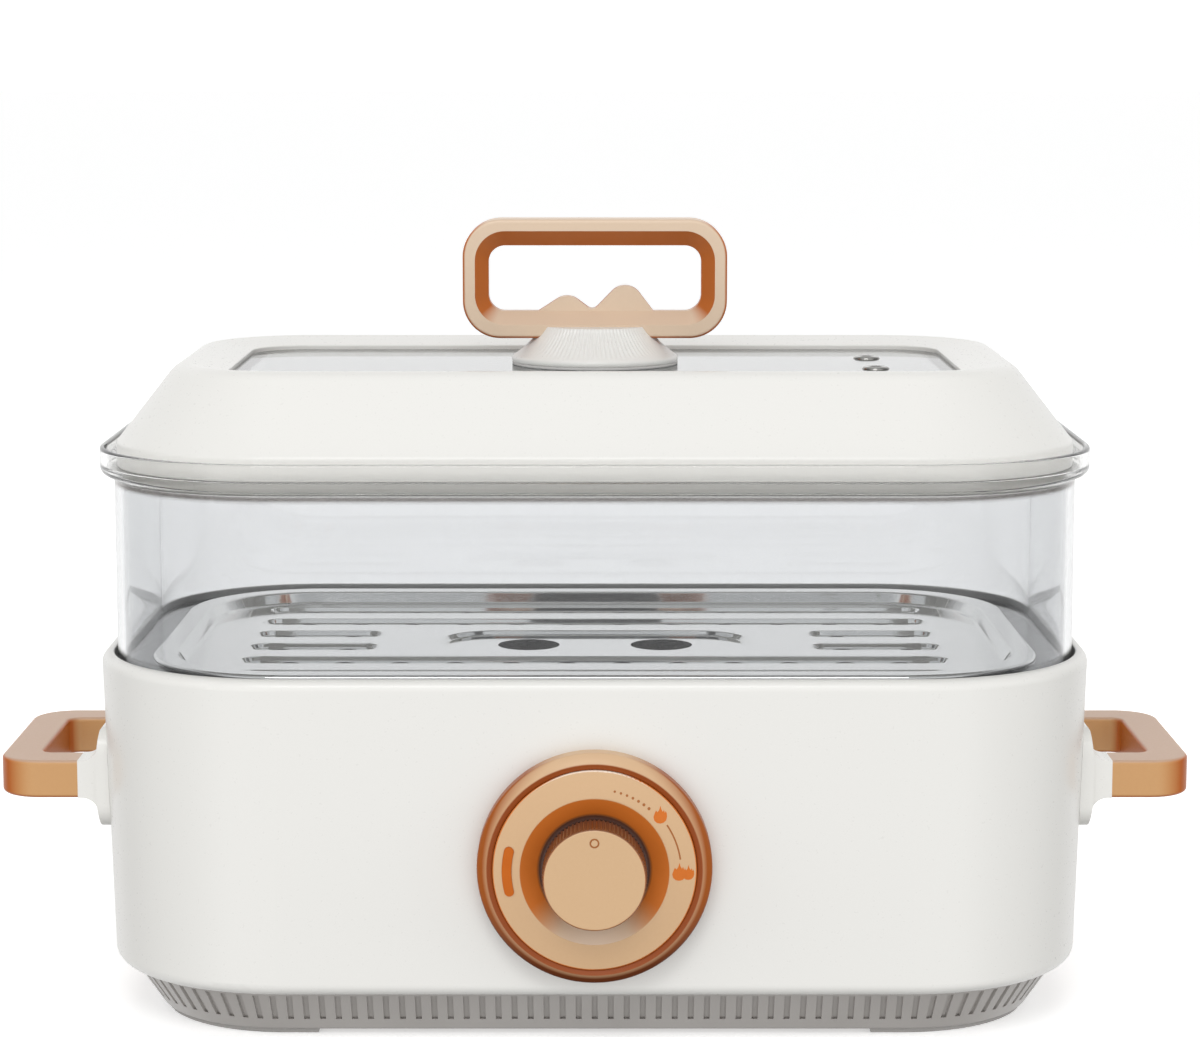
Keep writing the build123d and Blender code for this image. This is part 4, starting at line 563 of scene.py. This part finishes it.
def make_piece(
    name: str,
    shape: bmesh.types.BMesh,
    finish: Finish,
    body: Body,
    replaced: tuple[str, ...] = (),
    sharp_degrees: float = 35.0,
) -> None:
    """Turns a shape into a piece of the object.

    Args:
        name: Name of the piece.
        shape: Its mesh in metres, used up here.
        finish: Its finish.
        body: The body it moves with.
        replaced: Solids of the frame that it stands for.
        sharp_degrees: Edges sharper than this stay crisp.
    """
    mesh = bpy.data.meshes.new(name)
    bmesh.ops.recalc_face_normals(shape, faces=shape.faces[:])
    shape.to_mesh(mesh)
    shape.free()
    mesh.shade_smooth()
    mesh.set_sharp_from_angle(angle=math.radians(sharp_degrees))
    mesh.materials.append(finish.material())
    piece = bpy.data.objects.new(name, mesh)
    bpy.context.scene.collection.objects.link(piece)
    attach(piece, body.value)
    if replaced:
        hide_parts(*replaced)
    log.info("%s: %d faces, %s", name, len(mesh.polygons), finish.name)


def turn(
    shape: bmesh.types.BMesh, side: list[Vector], axis: tuple[int, int, int], centre: Vector, steps: int
) -> None:
    """Turns a side line once round an axis and closes its seam and poles.

    Args:
        shape: Mesh that gets the skin.
        side: Points of the side line in metres.
        axis: Direction of the axis.
        centre: Place on the axis.
        steps: Faces around.
    """
    verts = [shape.verts.new(point) for point in side]
    edges = [shape.edges.new(pair) for pair in zip(verts, verts[1:])]
    bmesh.ops.spin(
        shape, geom=[*verts, *edges], axis=axis, cent=centre, dvec=(0, 0, 0), angle=2 * math.pi, steps=steps,
        use_merge=True)
    bmesh.ops.remove_doubles(shape, verts=shape.verts[:], dist=WELD)


@dataclass
class CookerBase:
    """Plinth, feet, bottom plate, housing and what is screwed into it; sizes in millimetres.

    The screw's head is given as shares of its radius, each with its distance from the seat.
    """

    nodes: dict[str, bpy.types.Object]
    screw_shank: float = 1.5
    screw_head: tuple[tuple[float, float], ...] = (
        (1.0, 0.0), (1.0, 0.9), (0.93, 1.35), (0.8, 1.65), (0.66, 1.8))
    screw_steps: int = 36
    cross_half: float = 0.35
    cross_reach: float = 1.5
    cross_depth: float = 1.0
    cross_lean: float = 0.12

    def dress(self) -> None:
        """Gives each solid its finish."""
        SHELL_WHITE.dress(self.nodes, "outer_housing")
        PLINTH_GREY.dress(self.nodes, "base_plinth", "bottom_plate")
        SEAL_SILICONE.dress(self.nodes, "rubber_feet", "pan_seal")
        SCREW_STEEL.dress(self.nodes, "base_screws", "handle_screws", "dial_screws")
        INLET_BLACK.dress(self.nodes, "power_inlet")
        PIN_BRASS.dress(self.nodes, "inlet_pins")

    def build(self) -> None:
        """Makes the two screws that hold the inlet, with their cross recesses."""
        low, high = (Vector(corner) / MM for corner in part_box("inlet_screws"))
        radius = (high.z - low.z) / 2
        seat = high.y - self.screw_head[-1][1]
        shape = bmesh.new()
        for across in (low.x + radius, high.x - radius):
            self.add_screw(shape, Vector((across, seat, (low.z + high.z) / 2)), radius, seat - low.y)
        make_piece("cross_head_screws", shape, SCREW_STEEL, Body.BASE, ("inlet_screws",))

    def add_screw(self, shape: bmesh.types.BMesh, seat: Vector, radius: float, length: float) -> None:
        """Turns one screw that looks back, and sinks a cross into its head.

        Args:
            shape: Mesh that gets the screw.
            seat: Middle of the underside of its head.
            radius: Radius of its head.
            length: Length of its shank.
        """
        side = [(0.0, -length), (self.screw_shank, -length), (self.screw_shank, 0.0)]
        side += [(share * radius, back) for share, back in self.screw_head]
        points = [(seat + Vector((reach, back, 0))) * MM for reach, back in side]
        turn(shape, points, (0, 1, 0), seat * MM, self.screw_steps)
        rim = [edge for edge in shape.edges if edge.is_boundary]
        half, reach, back = self.cross_half, self.cross_reach, self.screw_head[-1][1]
        corners = []
        for quarter in range(4):
            swing = Matrix.Rotation(-quarter * math.pi / 2, 3, "Y")
            for x, z in ((half, half), (half, reach), (-half, reach)):
                corners.append(shape.verts.new((seat + swing @ Vector((x, back, z))) * MM))
        edges = [shape.edges.new(pair) for pair in zip(corners, [*corners[1:], corners[0]])]
        bmesh.ops.bridge_loops(shape, edges=[*rim, *edges])
        floor = shape.faces.new(corners)
        bmesh.ops.recalc_face_normals(shape, faces=shape.faces[:])
        bmesh.ops.inset_region(
            shape, faces=[floor], thickness=self.cross_lean * MM, depth=-self.cross_depth * MM,
            use_boundary=True, use_even_offset=True)


@dataclass
class HeatingUnit:
    """Cooking pan and the heater, sensor and wires under it."""

    nodes: dict[str, bpy.types.Object]

    def dress(self) -> None:
        """Gives each solid its finish."""
        PAN_COATING.dress(self.nodes, "cooking_pan")
        CAST_ALUMINIUM.dress(self.nodes, "heating_plate")
        HEATER_SHEATH.dress(self.nodes, "heater_tube")
        SCREW_STEEL.dress(self.nodes, "heater_straps", "strap_screws", "thermostat_screws")
        SHIELD_SHEET.dress(self.nodes, "heat_shield")
        BULB_COPPER.dress(self.nodes, "sensor_bulb")
        INLET_BLACK.dress(self.nodes, "thermal_cutout", "thermostat")
        WIRE_SLEEVE.dress(self.nodes, "internal_wires")


@dataclass
class SideHandles:
    """Copper-coloured grips in white brackets, left and right."""

    nodes: dict[str, bpy.types.Object]

    def dress(self) -> None:
        """Gives each solid its finish."""
        GRIP_LACQUER.dress(self.nodes, "right_handle_grip", "left_handle_grip")
        SHELL_WHITE.dress(self.nodes, "right_handle_bracket", "left_handle_bracket")


@dataclass
class ControlDial:
    """Bezel, printed face, lamp lens and turning knob on the front; sizes in millimetres.

    Places on the dial are a radius and an angle in degrees, clockwise from the top. A flame's tongues are
    given by their offset across, offset up and size.
    """

    nodes: dict[str, bpy.types.Object]
    face_radius: float = 31.9
    dish_radius: float = 23.4
    face_fall: float = 1.9
    dish_edge: float = 11.0
    wall_lean: float = 1.63
    bezel_side: tuple[tuple[float, float], ...] = (
        (32.05, -3.0), (32.05, 8.2), (32.2, 8.3), (33.45, 8.72), (33.6, 8.8), (33.8, 8.75), (36.3, 6.8),
        (36.65, 6.45), (36.85, 6.0), (36.9, 5.5), (36.9, -3.0))
    bezel_steps: int = 160
    ink: float = 0.06
    dots: int = 7
    dot_corners: int = 14
    dot_place: tuple[float, float] = (26.3, 13.8)
    dot_spacing: float = 4.37
    dot_radius: float = 0.38
    dot_growth: float = 0.02
    line_radii: tuple[float, float] = (26.75, 27.25)
    line_start: float = 56.5
    line_sweep: float = 25.2
    line_steps: int = 18
    flame_outline: tuple[tuple[float, float], ...] = (
        (-1.85, -0.5), (-1.6, -1.5), (-0.9, -2.15), (0.0, -2.35), (0.9, -2.15), (1.6, -1.5), (1.85, -0.5),
        (1.75, 0.4), (1.45, 1.0), (1.3, 0.45), (0.95, 1.35), (0.7, 0.8), (0.35, 1.4), (0.05, 2.45),
        (-0.3, 1.3), (-0.75, 0.75), (-1.15, 1.2), (-1.5, 0.5))
    flame_place: tuple[float, float] = (27.3, 48.4)
    flame_tongues: tuple[tuple[float, float, float], ...] = ((0.0, 0.0, 1.15),)
    double_flame_place: tuple[float, float] = (27.5, 90.5)
    double_flame_tongues: tuple[tuple[float, float, float], ...] = ((-1.1, 0.2, 1.2), (1.75, -0.15, 1.0))
    knob_mark_rise: float = 11.8
    knob_mark_radii: tuple[float, float] = (1.05, 1.5)
    knob_mark_depth: float = 0.12
    knob_mark_thickness: float = 0.1
    knob_mark_steps: int = 32

    def axis(self) -> Vector:
        """Finds the dial's axis.

        Returns:
            Place on the axis, level with the front edge of the dish, in metres.
        """
        low, high = (Vector(corner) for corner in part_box("dial_face"))
        return Vector(((low.x + high.x) / 2, low.y, (low.z + high.z) / 2))

    def dress(self) -> None:
        """Gives each solid its finish."""
        FACE_LACQUER.dress(self.nodes, "dial_face")
        KNOB_LACQUER.dress(self.nodes, "control_knob")
        ORANGE_LENS.dress(self.nodes, "lamp_lens")
        LAMP_GLASS.dress(self.nodes, "pilot_lamp")
        SCREW_STEEL.dress(self.nodes, "knob_shaft")

    def build(self) -> None:
        """Makes the bezel and the printed marks."""
        make_piece("sloped_bezel", self.bezel(), BUFFED_COPPER_PAINTED_SHADE, Body.BASE, ("dial_bezel",))
        self.print_dots()
        self.print_line()
        self.print_flame("flame_mark", self.flame_place, self.flame_tongues)
        self.print_flame("double_flame_mark", self.double_flame_place, self.double_flame_tongues)
        self.fill_knob_mark()

    def bezel(self) -> bmesh.types.BMesh:
        """Turns the bezel's side line round the dial and cuts it off at the leaning wall.

        Returns:
            The bezel's mesh.
        """
        shape = bmesh.new()
        wall = self.axis() + Vector((0, self.dish_edge * MM, 0))
        side = [wall + Vector((reach, -ahead, 0)) * MM for reach, ahead in self.bezel_side]
        turn(shape, side, (0, 1, 0), wall, self.bezel_steps)
        lean = math.radians(self.wall_lean)
        bmesh.ops.bisect_plane(
            shape, geom=[*shape.verts, *shape.edges, *shape.faces], dist=CUT, plane_co=wall,
            plane_no=(0, math.cos(lean), math.sin(lean)), clear_outer=True)
        bmesh.ops.bridge_loops(shape, edges=[edge for edge in shape.edges if edge.is_boundary])
        return shape

    def lay_on_face(self, shape: bmesh.types.BMesh) -> None:
        """Lays a flat mark in the XZ plane on the sloping face and gives it the thickness of ink.

        Args:
            shape: Mark in metres, around the dial's axis.
        """
        slope = self.face_fall / (self.face_radius - self.dish_radius)
        for vert in shape.verts:
            vert.co.y = (math.hypot(vert.co.x, vert.co.z) - self.dish_radius * MM) * slope
        bmesh.ops.translate(shape, verts=shape.verts[:], vec=self.axis())
        bmesh.ops.recalc_face_normals(shape, faces=shape.faces[:])
        for face in shape.faces:
            if face.normal.y > 0:
                face.normal_flip()
        raised = bmesh.ops.extrude_face_region(shape, geom=shape.faces[:])
        lifted = [item for item in raised["geom"] if isinstance(item, bmesh.types.BMVert)]
        bmesh.ops.translate(shape, verts=lifted, vec=(0, -self.ink * MM, 0))

    def clock(self, radius: float, degrees: float) -> Vector:
        """Finds a place on the dial.

        Args:
            radius: Distance from the axis.
            degrees: Clockwise from the top, seen from the front.

        Returns:
            Place in the XZ plane around the axis, in metres.
        """
        angle = math.radians(degrees)
        return Vector((radius * math.sin(angle), 0, radius * math.cos(angle))) * MM

    def print_dots(self) -> None:
        """Prints the row of low-heat dots, each a little larger than the one before."""
        shape = bmesh.new()
        radius, first = self.dot_place
        upright = Matrix.Rotation(math.pi / 2, 4, "X")
        for step in range(self.dots):
            place = Matrix.Translation(self.clock(radius, first + self.dot_spacing * step)) @ upright
            bmesh.ops.create_circle(
                shape, cap_ends=True, segments=self.dot_corners, matrix=place,
                radius=(self.dot_radius + self.dot_growth * step) * MM)
        self.lay_on_face(shape)
        make_piece("low_heat_dots", shape, SCALE_INK, Body.BASE)

    def print_line(self) -> None:
        """Prints the curved line between the two flames."""
        shape = bmesh.new()
        ends = [shape.verts.new(self.clock(radius, self.line_start)) for radius in self.line_radii]
        edge = shape.edges.new(ends)
        bmesh.ops.spin(
            shape, geom=[*ends, edge], axis=(0, 1, 0), cent=(0, 0, 0), dvec=(0, 0, 0),
            angle=math.radians(self.line_sweep), steps=self.line_steps)
        self.lay_on_face(shape)
        make_piece("heat_line", shape, SCALE_INK, Body.BASE)

    def print_flame(
        self, name: str, place: tuple[float, float], tongues: tuple[tuple[float, float, float], ...]
    ) -> None:
        """Prints a flame mark.

        Args:
            name: Name of the mark.
            place: Its middle on the dial.
            tongues: The flames in it.
        """
        shape = bmesh.new()
        middle = self.clock(*place)
        for across, up, size in tongues:
            points = [Vector((x * size + across, 0, z * size + up)) * MM for x, z in self.flame_outline]
            shape.faces.new([shape.verts.new(point + middle) for point in points])
        self.lay_on_face(shape)
        make_piece(name, shape, FLAME_INK, Body.BASE)

    def fill_knob_mark(self) -> None:
        """Fills the ring engraved in the knob with ink."""
        shape = bmesh.new()
        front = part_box("control_knob")[0][1]
        centre = Vector((0, front + self.knob_mark_depth * MM, self.axis().z + self.knob_mark_rise * MM))
        side = [centre + Vector((radius * MM, 0, 0)) for radius in self.knob_mark_radii]
        turn(shape, side, (0, 1, 0), centre, self.knob_mark_steps)
        bmesh.ops.solidify(shape, geom=shape.faces[:], thickness=self.knob_mark_thickness * MM)
        make_piece("knob_mark", shape, SCALE_INK, Body.KNOB)


@dataclass
class SteamerBox:
    """Clear box that stands in the housing, with the steel tray on its ledge."""

    nodes: dict[str, bpy.types.Object]

    def dress(self) -> None:
        """Gives each solid its finish."""
        BOX_CLEAR.dress(self.nodes, "steamer_box")
        TRAY_STEEL.dress(self.nodes, "steam_tray")


@dataclass
class Lid:
    """Lid frame with its pane, vents, ribbed pedestal and loop handle; sizes in millimetres.

    The ribs fade out towards their ends, over a share of their height, and towards the pedestal's sides, over
    angles in degrees from the front or the back.
    """

    nodes: dict[str, bpy.types.Object]
    pedestal_rim: float = 1.8
    pedestal_round: float = 0.3
    pedestal_step: float = 0.4
    pedestal_waist: tuple[float, float] = (21.4, 6.0)
    pedestal_top_radius: float = 17.8
    pedestal_top_edge: float = 0.5
    flank_steps: int = 12
    ribs: int = 96
    rib_steps: int = 8
    rib_depth: float = 0.5
    rib_margins: tuple[float, float] = (0.8, 0.2)
    rib_end_fade: float = 0.15
    rib_side_end: float = 62.0
    rib_side_fade: float = 30.0
    pedestal_sharp: float = 60.0
    gasket_round: float = 0.3
    gasket_steps: int = 128
    gasket_round_steps: int = 3
    eyelet_radius: float = 4.55
    eyelet_stem: float = 3.2
    eyelet_flange: float = 0.8
    eyelet_roll: tuple[tuple[float, float], ...] = (
        (1.9, 0.2), (2.05, 0.45), (2.5, 0.68), (3.1, 0.79), (3.6, 0.78), (4.1, 0.62), (4.4, 0.38),
        (4.55, 0.1))
    eyelet_steps: int = 48

    def dress(self) -> None:
        """Gives each solid its finish."""
        SHELL_WHITE.dress(self.nodes, "lid_frame")
        PANE_GLASS.dress(self.nodes, "lid_window")
        PALE_SILICONE.dress(self.nodes, "window_gasket")
        LOOP_LACQUER.dress(self.nodes, "lid_handle")
        SCREW_STEEL.dress(self.nodes, "clamp_plate", "lid_handle_screws")

    def build(self) -> None:
        """Makes the ribbed pedestal, the ring under it and the eyelets."""
        make_piece(
            "ribbed_pedestal", self.pedestal(), SHELL_WHITE, Body.LID,
            ("handle_pedestal",), self.pedestal_sharp)
        make_piece(
            "pedestal_ring", self.gasket(), PALE_SILICONE, Body.LID, ("pedestal_gasket",))
        make_piece(
            "rolled_eyelets", self.eyelets(), EYELET_NICKEL, Body.LID, ("vent_eyelets",))

    def eyelets(self) -> bmesh.types.BMesh:
        """Turns the two vent eyelets with their rolled rims above and below the pane.

        Returns:
            The mesh of both.
        """
        low, high = (Vector(corner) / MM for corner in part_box("vent_eyelets"))
        top, bottom = high.z - self.eyelet_flange, low.z + self.eyelet_flange
        side = [(reach, top + rise) for reach, rise in self.eyelet_roll]
        side += [(self.eyelet_radius, top), (self.eyelet_stem, top), (self.eyelet_stem, bottom)]
        side += [(self.eyelet_radius, bottom)]
        side += [(reach, bottom - rise) for reach, rise in reversed(self.eyelet_roll)]
        side.append(side[0])
        shape = bmesh.new()
        across = (low.x + high.x) / 2
        for along in (low.y + self.eyelet_radius, high.y - self.eyelet_radius):
            points = [Vector((across + reach, along, rise)) * MM for reach, rise in side]
            turn(shape, points, (0, 0, 1), Vector((across, along, 0)) * MM, self.eyelet_steps)
        return shape

    def gasket(self) -> bmesh.types.BMesh:
        """Turns the rounded gasket under the pedestal, as wide as the pedestal's foot.

        Returns:
            The gasket's mesh.
        """
        low, high = (Vector(corner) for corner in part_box("pedestal_gasket"))
        foot_low, foot_high = (Vector(corner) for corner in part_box("handle_pedestal"))
        radius = (foot_high.x - foot_low.x) / 2
        shape = bmesh.new()
        bmesh.ops.create_cone(
            shape, cap_ends=True, segments=self.gasket_steps, radius1=radius, radius2=radius,
            depth=high.z - low.z, matrix=Matrix.Translation((low + high) / 2))
        rims = [edge for edge in shape.edges if abs(edge.verts[0].co.z - edge.verts[1].co.z) < WELD]
        bmesh.ops.bevel(
            shape, geom=rims, offset=self.gasket_round * MM, segments=self.gasket_round_steps, profile=0.5,
            affect="EDGES", material=-1)
        return shape

    def pedestal(self) -> bmesh.types.BMesh:
        """Turns the pedestal's side line round and presses fine upright ribs into its flank.

        Returns:
            The pedestal's mesh.
        """
        low, high = (Vector(corner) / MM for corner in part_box("handle_pedestal"))
        radius, height = (high.x - low.x) / 2, high.z - low.z
        rim, soft = self.pedestal_rim, self.pedestal_round
        foot = Vector((radius - self.pedestal_step, rim + soft))
        waist = Vector(self.pedestal_waist)
        top = Vector((self.pedestal_top_radius, height))
        side = [(0.0, 0.0), (radius - soft, 0.0), (radius, soft), (radius, rim - soft)]
        for step in range(self.flank_steps + 1):
            share = step / self.flank_steps
            side.append(foot.lerp(waist, share).lerp(waist.lerp(top, share), share))
        side += [(top.x - self.pedestal_top_edge, height), (0.0, height)]
        shape = bmesh.new()
        points = [Vector((reach, 0, rise)) * MM for reach, rise in side]
        turn(shape, points, (0, 0, 1), Vector(), self.ribs * self.rib_steps)
        self.press_ribs(shape, rim + self.rib_margins[0], height - self.rib_margins[1])
        centre = (low + high) / 2
        bmesh.ops.translate(shape, verts=shape.verts[:], vec=Vector((centre.x, centre.y, low.z)) * MM)
        return shape

    def press_ribs(self, shape: bmesh.types.BMesh, low: float, high: float) -> None:
        """Presses the ribs into the flank's front and back.

        Args:
            shape: The pedestal's mesh, around the Z axis.
            low: Height where the ribs start.
            high: Height where they end.
        """
        for vert in shape.verts:
            share = (vert.co.z / MM - low) / (high - low)
            if not 0 < share < 1:
                continue
            aside = abs(math.degrees(math.atan2(vert.co.x, abs(vert.co.y))))
            front = min(max((self.rib_side_end - aside) / self.rib_side_fade, 0), 1)
            ends = min(share, 1 - share, self.rib_end_fade) / self.rib_end_fade
            ripple = 0.5 - 0.5 * math.cos(self.ribs * math.atan2(vert.co.y, vert.co.x))
            vert.co.xy *= 1 - ripple * front * ends * self.rib_depth * MM / vert.co.xy.length


@dataclass(frozen=True)
class SoftBox:
    """A soft studio light; sizes in millimetres."""

    name: str
    place: tuple[float, float, float]
    target: tuple[float, float, float]
    size: tuple[float, float]
    watts: float
    mirrored: bool = True

    def hang(self) -> None:
        """Hangs the light; unless mirrored, it shows neither in glossy surfaces nor through clear ones."""
        lamp = bpy.data.lights.new(self.name, "AREA")
        lamp.shape = "RECTANGLE"
        lamp.size, lamp.size_y = (side * MM for side in self.size)
        lamp.energy = self.watts
        holder = bpy.data.objects.new(self.name, lamp)
        holder.visible_glossy = self.mirrored
        holder.visible_transmission = self.mirrored
        holder.location = Vector(self.place) * MM
        holder.rotation_euler = (Vector(self.target) - Vector(self.place)).to_track_quat("-Z", "Y").to_euler()
        bpy.context.scene.collection.objects.link(holder)


@dataclass
class Studio:
    """Floor, soft lights and the camera; sizes in millimetres.

    The room's brightness changes along directions: each change has its direction, where it starts and ends,
    and the brightness before and after it.
    """

    camera_place: tuple[float, float, float] = (1.7, -1076.9, 309.0)
    camera_pitch: float = 8.0
    lens: float = 96.78
    sensor: float = 36.0
    sight: float = 100000.0
    floor_half: float = 40000.0
    tent_steps: tuple[int, int] = (48, 24)
    lights: tuple[SoftBox, ...] = (
        SoftBox("top_light", (0, -100, 1700), (0, -100, 0), (1500, 1600), 2.6),
        SoftBox("key_light", (-150, -1300, 1400), (0, 0, 100), (900, 500), 7.0),
        SoftBox("left_fill", (-2200, -500, 500), (0, 0, 120), (1600, 1600), 15.0, mirrored=False),
        SoftBox("right_fill", (2200, -500, 500), (0, 0, 120), (1600, 1600), 15.0, mirrored=False),
        SoftBox("back_fill", (0, 2200, 700), (0, 0, 120), (1600, 1600), 9.0, mirrored=False))
    room: tuple[tuple[str, float, float, float, float], ...] = (
        ("aside", 0.6, 0.92, 1.0, 0.14), ("up", -0.9, -0.65, 0.1, 1.0), ("up", 0.5, 0.9, 1.0, 0.4),
        ("back", -0.6, 0.6, 1.1, 1.07))

    def build(self) -> None:
        """Makes floor, lights, surroundings and camera."""
        self.lay_floor()
        for light in self.lights:
            light.hang()
        self.hang_backdrop()
        self.surround()
        self.set_camera()
        view = bpy.context.scene.view_settings
        view.view_transform = "Standard"
        view.look = "None"

    def lay_floor(self) -> None:
        """Lays the pale floor under the feet."""
        shape = bmesh.new()
        bmesh.ops.create_grid(shape, x_segments=2, y_segments=2, size=self.floor_half * MM)
        self.set_up("floor", shape, FLOOR_PAINT)

    def hang_backdrop(self) -> None:
        """Hangs a plain white tent far around the floor, which neither lights nor shades the object."""
        shape = bmesh.new()
        around, upward = self.tent_steps
        bmesh.ops.create_uvsphere(
            shape, u_segments=around, v_segments=upward, radius=self.floor_half * MM)
        tent = self.set_up("backdrop", shape, BACKDROP_CLOTH)
        tent.visible_shadow = False
        tent.visible_transmission = False

    def set_up(self, name: str, shape: bmesh.types.BMesh, finish: Finish) -> bpy.types.Object:
        """Sets up a piece of the stage.

        Args:
            name: Name of the piece.
            shape: Its mesh in metres, used up here.
            finish: Its finish.

        Returns:
            The piece, which surfaces don't mirror and which casts no light on them.
        """
        mesh = bpy.data.meshes.new(name)
        shape.to_mesh(mesh)
        shape.free()
        mesh.materials.append(finish.material())
        piece = bpy.data.objects.new(name, mesh)
        piece.visible_diffuse = False
        piece.visible_glossy = False
        bpy.context.scene.collection.objects.link(piece)
        return piece

    def surround(self) -> None:
        """Sets the bright, plain room around the object."""
        world = bpy.data.worlds.new("studio")
        world.use_nodes = True
        tree = world.node_tree
        tree.nodes.clear()
        sight = add_node(tree, "ShaderNodeTexCoord").outputs["Generated"]
        parts = add_node(tree, "ShaderNodeSeparateXYZ", {"Vector": sight}).outputs
        aside = add_node(tree, "ShaderNodeMath", {0: parts["X"]}, operation="ABSOLUTE").outputs[0]
        ways = {"aside": aside, "back": parts["Y"], "up": parts["Z"]}
        strength, *others = (
            ramp(tree, ways[way], *change, interpolation_type="SMOOTHSTEP") for way, *change in self.room)
        for share in others:
            product = add_node(tree, "ShaderNodeMath", {0: strength, 1: share}, operation="MULTIPLY")
            strength = product.outputs[0]
        light = add_node(tree, "ShaderNodeBackground", {"Strength": strength}, {"Color": linear("#FFFFFF")})
        add_node(tree, "ShaderNodeOutputWorld", {"Surface": light.outputs[0]})
        bpy.context.scene.world = world

    def set_camera(self) -> None:
        """Puts the camera where the photograph was taken from."""
        data = bpy.data.cameras.new("camera")
        data.lens = self.lens
        data.sensor_width = self.sensor
        data.clip_end = self.sight * MM
        camera = bpy.data.objects.new("camera", data)
        camera.location = Vector(self.camera_place) * MM
        camera.rotation_euler = (math.radians(90 - self.camera_pitch), 0, 0)
        bpy.context.scene.collection.objects.link(camera)
        bpy.context.scene.camera = camera


def main() -> None:
    """Loads the frame, builds and dresses each part of the cooker, and sets up the studio."""
    logging.basicConfig(level=logging.INFO, format="%(message)s")
    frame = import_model()
    nodes = frame["nodes"]
    base = CookerBase(nodes)
    dial = ControlDial(nodes)
    lid = Lid(nodes)
    for part in (base, HeatingUnit(nodes), SideHandles(nodes), dial, SteamerBox(nodes), lid):
        part.dress()
    for part in (base, dial, lid):
        part.build()
    Studio().build()
    bpy.context.view_layer.update()


if __name__ == "__main__":
    main()
